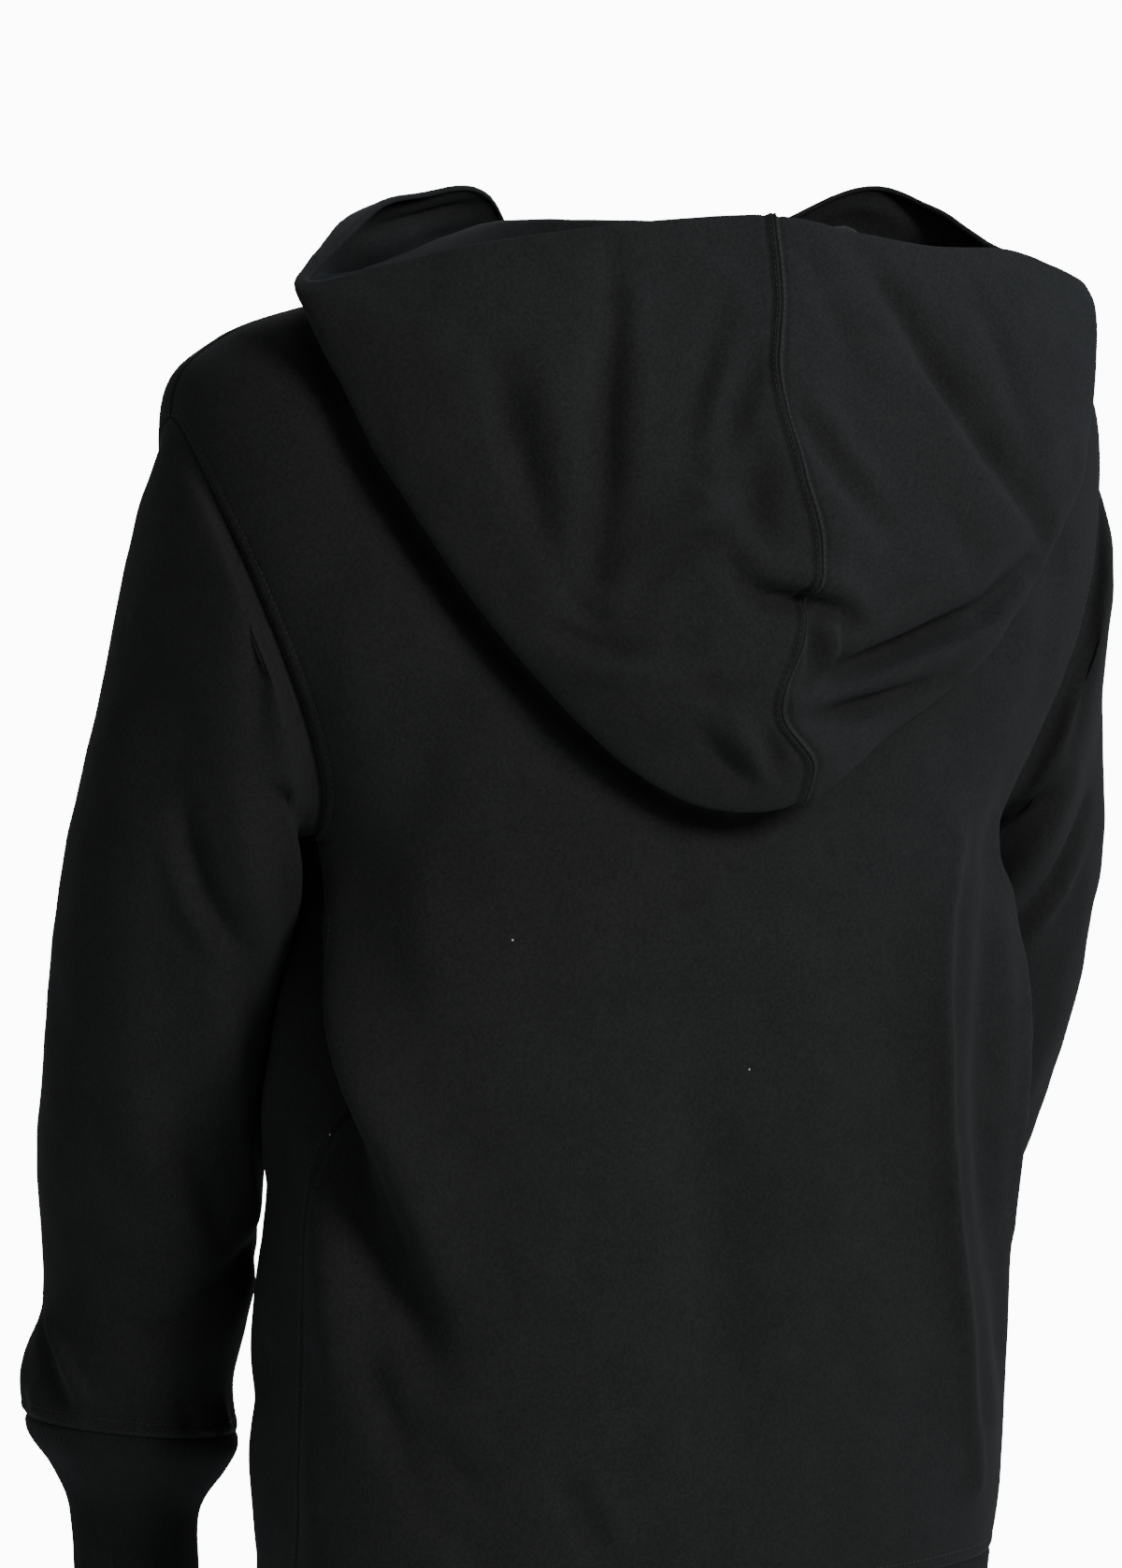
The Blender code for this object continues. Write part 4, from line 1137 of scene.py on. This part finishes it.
def hood_cloth():
    """The whole hood with all its creases, and the distances from its centre seam and its rim."""
    settings = bpy.context.scene.hoodie_stitching
    ring, lift = lay_lift()
    steps, places = hood_steps(), hood_places()
    by_step = smooth_rows(LAY_STEPS, lift.reshape(len(LAY_STEPS), -1), steps)
    by_place = by_step.reshape(len(steps), len(ring), 3).transpose(1, 0, 2).reshape(len(ring), -1)
    fine_lift = smooth_rows(ring, by_place, places).reshape(len(places), len(steps), 3).transpose(1, 0, 2)
    step, around = np.meshgrid(steps, places, indexing="ij")
    points = hood(steps, places) + fine_lift + hump_shift(steps, places)
    normals = grid_normals(points)
    outer = np.clip((step - HOOD_FOLD) / 0.4, 0, 1)
    behind = np.clip((1.0 - np.abs(around)) / 0.15, 0, 1)
    from_rim = np.linalg.norm(points - points[-1:], axis=-1)
    strength = bpy.context.scene.hoodie_cloth.hood_creases
    rise = strength * fold_height(HOOD_CREASES, points[..., 0], points[..., 2]) * outer * behind
    rise = rise + fold_height(HOOD_GATHERS, around * GATHER_AROUND, step * GATHER_STEP) * (1 - behind)
    started = eased(0.2, 1.0, step)
    for swell in HOOD_SWELLS:
        rise = rise + started * swell.height * unevenness(points, swell)
    rise = rise - 0.0010 * near(from_rim, 0.0016)
    points = points + normals * rise[..., None]
    normals = grid_normals(points)
    centre = len(places) // 2
    from_seam = np.abs(runs(points, 1) - runs(points, 1)[:, centre:centre + 1])
    half_gap = 0.5 * settings.hood_gap
    ridge = settings.hood_ridge * np.exp(-(from_seam / (half_gap + 0.0008)) ** 4)
    groove = 0.4 * settings.hood_ridge * near(from_seam, 0.0007)
    sewn = 1.4 * settings.stitch_dip * near(from_seam - half_gap, 0.0008)
    sewn = sewn + settings.seam_dip * near(from_seam - 2.0 * half_gap, 0.0014)
    points = points + normals * (ridge - groove - sewn)[..., None]
    normals[0] = outward(solid_body, np.full(places.shape, float(NECKLINE)), places)
    normals[:, [0, -1], 0] = 0
    normals = unit(normals)
    return steps, places, points, normals, from_seam, from_rim


class HOODIE_OT_hood(bpy.types.Operator):
    """Make the two halves of the hood"""

    bl_idname = "hoodie.hood"
    bl_label = "Hood"

    def execute(self, context):
        settings = context.scene.hoodie_stitching
        steps, places, points, normals, from_seam, from_rim = hood_cloth()
        centre = len(places) // 2
        across_seam = unit(np.cross(normals[:, centre], np.gradient(points[:, centre], axis=0)))
        wall = context.scene.hoodie_cloth.fleece_wall + RIM_EXTRA * (1 - eased(0, RIM_WIDTH, from_rim))
        shift = slant(from_seam, across_seam[:, None, :])
        for word, side in (("left", 1), ("right", -1)):
            half = slice(centre, None) if side > 0 else slice(0, centre + 1)
            shifted = points.copy()
            shifted[:, centre] += side * SEAM_GAP / 2 * across_seam
            shifted[:, [0, -1], 0] += side * SEAM_GAP / 2
            dress("hood_cloth_" + word, "hood_" + word, "fleece",
                  shifted[:, half], normals[:, half], wall[:, half],
                  shift=shift[:, half])
            outer = steps >= 0.9
            line = line_at(points[outer][:, half], from_seam[outer][:, half], 0.5 * settings.hood_gap)
            STITCH_LINES.append(line)
        return {"FINISHED"}


# Stitching

def stitch_tree():
    """Stitches of one length set end to end along paths."""
    tree = bpy.data.node_groups.new("Stitches along paths", "GeometryNodeTree")
    sockets = tree.interface
    sockets.new_socket("Paths", in_out="INPUT", socket_type="NodeSocketGeometry")
    for name, value in (("Stitch spacing", 0.003), ("Stitch length", 0.0022), ("Thread width", 0.0005)):
        socket = sockets.new_socket(name, in_out="INPUT", socket_type="NodeSocketFloat")
        socket.default_value = value
        socket.subtype = "DISTANCE"
    sockets.new_socket("Thread", in_out="INPUT", socket_type="NodeSocketMaterial")
    sockets.new_socket("Stitches", in_out="OUTPUT", socket_type="NodeSocketGeometry")
    start = node(tree, "NodeGroupInput", (-900, 0))
    end = node(tree, "NodeGroupOutput", (900, 0))
    curves = node(tree, "GeometryNodeMeshToCurve", (-660, 120))
    resample = node(tree, "GeometryNodeResampleCurve", (-440, 120), mode="LENGTH")
    stitch = node(tree, "GeometryNodeMeshUVSphere", (-440, -160),
                  {"Segments": 6, "Rings": 4, "Radius": 0.5})
    size = node(tree, "ShaderNodeCombineXYZ", (-440, -340))
    tangent = node(tree, "GeometryNodeInputTangent", (-440, -500))
    turn = node(tree, "FunctionNodeAlignRotationToVector", (-200, -420), axis="Z")
    place = node(tree, "GeometryNodeInstanceOnPoints", (40, 60))
    solid = node(tree, "GeometryNodeRealizeInstances", (260, 60))
    smooth = node(tree, "GeometryNodeSetShadeSmooth", (460, 60))
    finish = node(tree, "GeometryNodeSetMaterial", (660, 60))
    wire(tree, (start, "Paths", curves, "Mesh"), (curves, "Curve", resample, "Curve"),
         (start, "Stitch spacing", resample, "Length"), (start, "Thread width", size, "X"),
         (start, "Thread width", size, "Y"), (start, "Stitch length", size, "Z"),
         (tangent, "Tangent", turn, "Vector"), (resample, "Curve", place, "Points"),
         (stitch, "Mesh", place, "Instance"), (turn, "Rotation", place, "Rotation"),
         (size, "Vector", place, "Scale"), (place, "Instances", solid, "Geometry"),
         (solid, "Geometry", smooth, "Geometry"), (smooth, "Geometry", finish, "Geometry"),
         (start, "Thread", finish, "Material"), (finish, "Geometry", end, "Stitches"))
    return tree


class HOODIE_OT_stitching(bpy.types.Operator):
    """Sew rows of stitches along the seams"""

    bl_idname = "hoodie.stitching"
    bl_label = "Stitching"

    def execute(self, context):
        settings = context.scene.hoodie_stitching
        vertices, edges = [], []
        for line in STITCH_LINES:
            first = len(vertices)
            vertices.extend(line.tolist())
            edges.extend((first + k, first + k + 1) for k in range(len(line) - 1))
        mesh = bpy.data.meshes.new("stitch_paths")
        mesh.from_pydata(vertices, edges, [])
        paths = bpy.data.objects.new("stitch_paths", mesh)
        context.scene.collection.objects.link(paths)
        modifier = paths.modifiers.new("Stitches", "NODES")
        modifier.node_group = stitch_tree()
        values = {"Stitch spacing": settings.spacing, "Stitch length": settings.length,
                  "Thread width": settings.thread, "Thread": thread_material()}
        for item in modifier.node_group.interface.items_tree:
            if item.name in values:
                modifier[item.identifier] = values[item.name]
        evaluated = paths.evaluated_get(context.evaluated_depsgraph_get())
        sewn = bpy.data.meshes.new_from_object(evaluated)
        bpy.data.objects.remove(paths)
        if not sewn.polygons:
            raise RuntimeError("The stitch paths gave no stitches")
        piece = bpy.data.objects.new("topstitching", sewn)
        context.scene.collection.objects.link(piece)
        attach(piece, "root")
        return {"FINISHED"}


# Stage

def aim(thing, location, target):
    """Place a light or camera and point it at the target."""
    thing.location = location
    back = (Vector(location) - Vector(target)).normalized()
    thing.rotation_mode = "QUATERNION"
    thing.rotation_quaternion = back.to_track_quat("Z", "Y")


def soft_light(name, direction, distance, size, power, colour, target):
    data = bpy.data.lights.new(name, "AREA")
    data.shape = "DISK"
    data.size = size
    data.energy = power
    data.color = colour
    light = bpy.data.objects.new(name, data)
    bpy.context.scene.collection.objects.link(light)
    aim(light, Vector(target) + Vector(direction).normalized() * distance, target)


class HOODIE_OT_stage(bpy.types.Operator):
    """Set up the floor, the lights and the camera"""

    bl_idname = "hoodie.stage"
    bl_label = "Stage"

    def execute(self, context):
        stage = context.scene.hoodie_stage
        floor_z = CAD_BOX[0][2] - FLOOR_DROP
        bpy.ops.mesh.primitive_circle_add(vertices=96, radius=FLOOR_RADIUS, fill_type="NGON",
                                          location=(0, 0, floor_z))
        floor = context.object
        floor.name = "floor"
        floor.data.materials.append(new_material(
            "pale_floor", Base_Color=(*stage.floor_colour, 1), Roughness=0.9)[0])
        world = bpy.data.worlds.new("pale_room")
        world.use_nodes = True
        tree = world.node_tree
        background = tree.nodes["Background"]
        set_inputs(background, {"Color": (0.97, 0.98, 1.0, 1)})
        rays = node(tree, "ShaderNodeLightPath", (-600, 0))
        strength = node(tree, "ShaderNodeMix", (-300, 0),
                        {"A": stage.room_light, "B": stage.backdrop_light}, data_type="FLOAT")
        wire(tree, (rays, "Is Camera Ray", strength, "Factor"),
             (strength, "Result", background, "Strength"))
        context.scene.world = world
        target = Vector(stage.target)
        turn, rise = stage.camera_turn, stage.camera_rise
        back = Vector((sin(turn) * cos(rise), cos(turn) * cos(rise), sin(rise)))
        right = Vector((-cos(turn), sin(turn), 0))
        up = Vector((0, 0, 1))
        key = back * 0.9 + right * 0.8 + up * 0.48
        soft_light("key_light", key, 3.2, 1.1, stage.key_power, (1.0, 0.99, 0.97), target)
        sky = right * 0.8 - back * 0.1 + up * 0.8
        soft_light("sky_light", sky, 2.8, 1.2, stage.sky_power, (0.62, 0.80, 1.0), target)
        soft_light("front_light", -back + up * 0.5, 3.6, 2.4, stage.front_power, (1, 1, 1), target)
        data = bpy.data.cameras.new("camera")
        data.sensor_width = 36.0
        data.lens = stage.lens
        camera = bpy.data.objects.new("camera", data)
        context.scene.collection.objects.link(camera)
        aim(camera, target + back * stage.camera_distance, target)
        context.scene.camera = camera
        return {"FINISHED"}


# Settings

class HoodieCloth(bpy.types.PropertyGroup):
    fleece_wall: FloatProperty(name="Fleece thickness", description="Thickness of the fleece",
                               default=0.0020, min=0.001, max=0.003, unit="LENGTH")
    hood_creases: FloatProperty(name="Hood creases",
                                description="Strength of the creases on the hood's back",
                                default=1.0, min=0.0, max=2.5, subtype="FACTOR")
    rib_wall: FloatProperty(name="Rib thickness", description="Thickness of cuffs and waistband",
                            default=0.0022, min=0.001, max=0.003, unit="LENGTH")
    rib_pitch: FloatProperty(name="Rib pitch", description="Distance from rib to rib",
                             default=0.0036, min=0.002, max=0.01, unit="LENGTH")
    rib_depth: FloatProperty(name="Rib depth", description="Depth of the grooves between ribs",
                             default=0.00030, min=0.0, max=0.001, unit="LENGTH")
    band_columns: IntProperty(name="Waistband columns",
                              description="Columns of faces round the waistband",
                              default=1000, min=200, max=1400)
    cuff_columns: IntProperty(name="Cuff columns", description="Columns of faces round a cuff",
                              default=390, min=100, max=600)
    face_dark: FloatVectorProperty(name="Dark yarn", description="Colour of the fleece's dark yarn",
                                   default=(0.0062, 0.0065, 0.0064), subtype="COLOR")
    face_light: FloatVectorProperty(name="Light yarn", description="Colour of the fleece's light yarn",
                                    default=(0.0118, 0.0122, 0.0120), subtype="COLOR")
    rib_dark: FloatVectorProperty(name="Dark rib yarn", description="Colour of the rib's dark yarn",
                                  default=(0.0052, 0.0055, 0.0054), subtype="COLOR")
    rib_light: FloatVectorProperty(name="Light rib yarn", description="Colour of the rib's light yarn",
                                   default=(0.0098, 0.0102, 0.0101), subtype="COLOR")
    thread: FloatVectorProperty(name="Thread", description="Colour of the sewing thread",
                                default=(0.0066, 0.0069, 0.0070), subtype="COLOR")
    sheen: FloatProperty(name="Sheen", description="Strength of the fuzz's soft sheen",
                         default=0.008, min=0.0, max=1.0, subtype="FACTOR")


class HoodieStitching(bpy.types.PropertyGroup):
    spacing: FloatProperty(name="Stitch spacing", description="Distance from stitch to stitch",
                           default=0.0032, min=0.0015, max=0.006, unit="LENGTH")
    length: FloatProperty(name="Stitch length", description="Length of one stitch that shows",
                          default=0.0025, min=0.001, max=0.005, unit="LENGTH")
    thread: FloatProperty(name="Thread width", description="Width of the sewing thread",
                          default=0.00044, min=0.0002, max=0.001, unit="LENGTH")
    first_row: FloatProperty(name="First row",
                             description="Distance from a seam to the nearer row of stitches",
                             default=0.0018, min=0.0005, max=0.005, unit="LENGTH")
    twin_gap: FloatProperty(name="Twin row gap",
                            description="Distance between the two rows beside a seam",
                            default=0.0060, min=0.002, max=0.008, unit="LENGTH")
    cover_gap: FloatProperty(name="Cover row gap",
                             description="Distance between rows on either side of a seam",
                             default=0.0084, min=0.002, max=0.012, unit="LENGTH")
    hood_gap: FloatProperty(name="Hood row gap",
                            description="Distance between the rows beside the hood's seam",
                            default=0.0044, min=0.002, max=0.008, unit="LENGTH")
    hood_ridge: FloatProperty(name="Hood seam ridge",
                              description="Height of the raised seam down the hood",
                              default=0.0020, min=0.0, max=0.003, unit="LENGTH")
    seam_dip: FloatProperty(name="Seam dip", description="How far the cloth dips at a seam",
                            default=0.0008, min=0.0, max=0.002, unit="LENGTH")
    stitch_dip: FloatProperty(name="Stitch dip", description="How far stitches pull the cloth in",
                              default=0.0005, min=0.0, max=0.002, unit="LENGTH")


class HoodieStage(bpy.types.PropertyGroup):
    floor_colour: FloatVectorProperty(name="Floor", description="Colour of the floor",
                                      default=(0.86, 0.86, 0.86), subtype="COLOR")
    room_light: FloatProperty(name="Room light", description="Strength of the light from all round",
                              default=0.40, min=0.0, max=3.0)
    backdrop_light: FloatProperty(name="Backdrop",
                                  description="Brightness of the backdrop as the camera sees it",
                                  default=12.0, min=0.0, max=60.0)
    key_power: FloatProperty(name="Key light", description="Power of the main light",
                             default=100.0, min=0.0, unit="POWER")
    sky_power: FloatProperty(name="Sky light", description="Power of the cool light from above",
                             default=40.0, min=0.0, unit="POWER")
    front_power: FloatProperty(name="Front light",
                               description="Power of the light on the garment's front",
                               default=30.0, min=0.0, unit="POWER")
    target: FloatVectorProperty(name="Target", description="Point that the camera looks at",
                                default=(0.0525, -0.0113, -0.2635), subtype="XYZ", unit="LENGTH")
    camera_turn: FloatProperty(name="Camera turn",
                               description="Camera's turn from straight behind to the left",
                               default=radians(27.0), subtype="ANGLE")
    camera_rise: FloatProperty(name="Camera rise", description="Camera's angle above the horizon",
                               default=radians(3.0), subtype="ANGLE")
    camera_distance: FloatProperty(name="Camera distance", description="Distance from camera to target",
                                   default=2.6, min=0.5, unit="LENGTH")
    lens: FloatProperty(name="Lens", description="Focal length in millimetres on a sensor 36 mm long",
                        default=113.9, min=20.0)


class HOODIE_PT_panel(bpy.types.Panel):
    """Settings and steps of the pullover hoodie"""

    bl_idname = "HOODIE_PT_panel"
    bl_label = "Pullover hoodie"
    bl_space_type = "VIEW_3D"
    bl_region_type = "UI"
    bl_category = "Hoodie"

    def draw(self, context):
        scene = context.scene
        for name, group in GROUPS:
            box = self.layout.box()
            box.label(text=name.partition("_")[2].capitalize())
            for setting in group.__annotations__:
                box.prop(getattr(scene, name), setting)
        for step in STEPS:
            self.layout.operator(step.bl_idname)


STEPS = (HOODIE_OT_body, HOODIE_OT_waistband, HOODIE_OT_sleeves, HOODIE_OT_hood, HOODIE_OT_stitching,
         HOODIE_OT_stage)
GROUPS = (("hoodie_cloth", HoodieCloth), ("hoodie_stitching", HoodieStitching),
          ("hoodie_stage", HoodieStage))


def register():
    for name, group in GROUPS:
        bpy.utils.register_class(group)
        setattr(bpy.types.Scene, name, PointerProperty(type=group))
    for step in STEPS:
        bpy.utils.register_class(step)
    bpy.utils.register_class(HOODIE_PT_panel)


def unregister():
    bpy.utils.unregister_class(HOODIE_PT_panel)
    for step in reversed(STEPS):
        bpy.utils.unregister_class(step)
    for name, group in reversed(GROUPS):
        delattr(bpy.types.Scene, name)
        bpy.utils.unregister_class(group)


def main():
    register()
    bpy.ops.hoodie.body()
    bpy.ops.hoodie.waistband()
    bpy.ops.hoodie.sleeves()
    bpy.ops.hoodie.hood()
    bpy.ops.hoodie.stitching()
    bpy.ops.hoodie.stage()


if __name__ == "__main__":
    main()
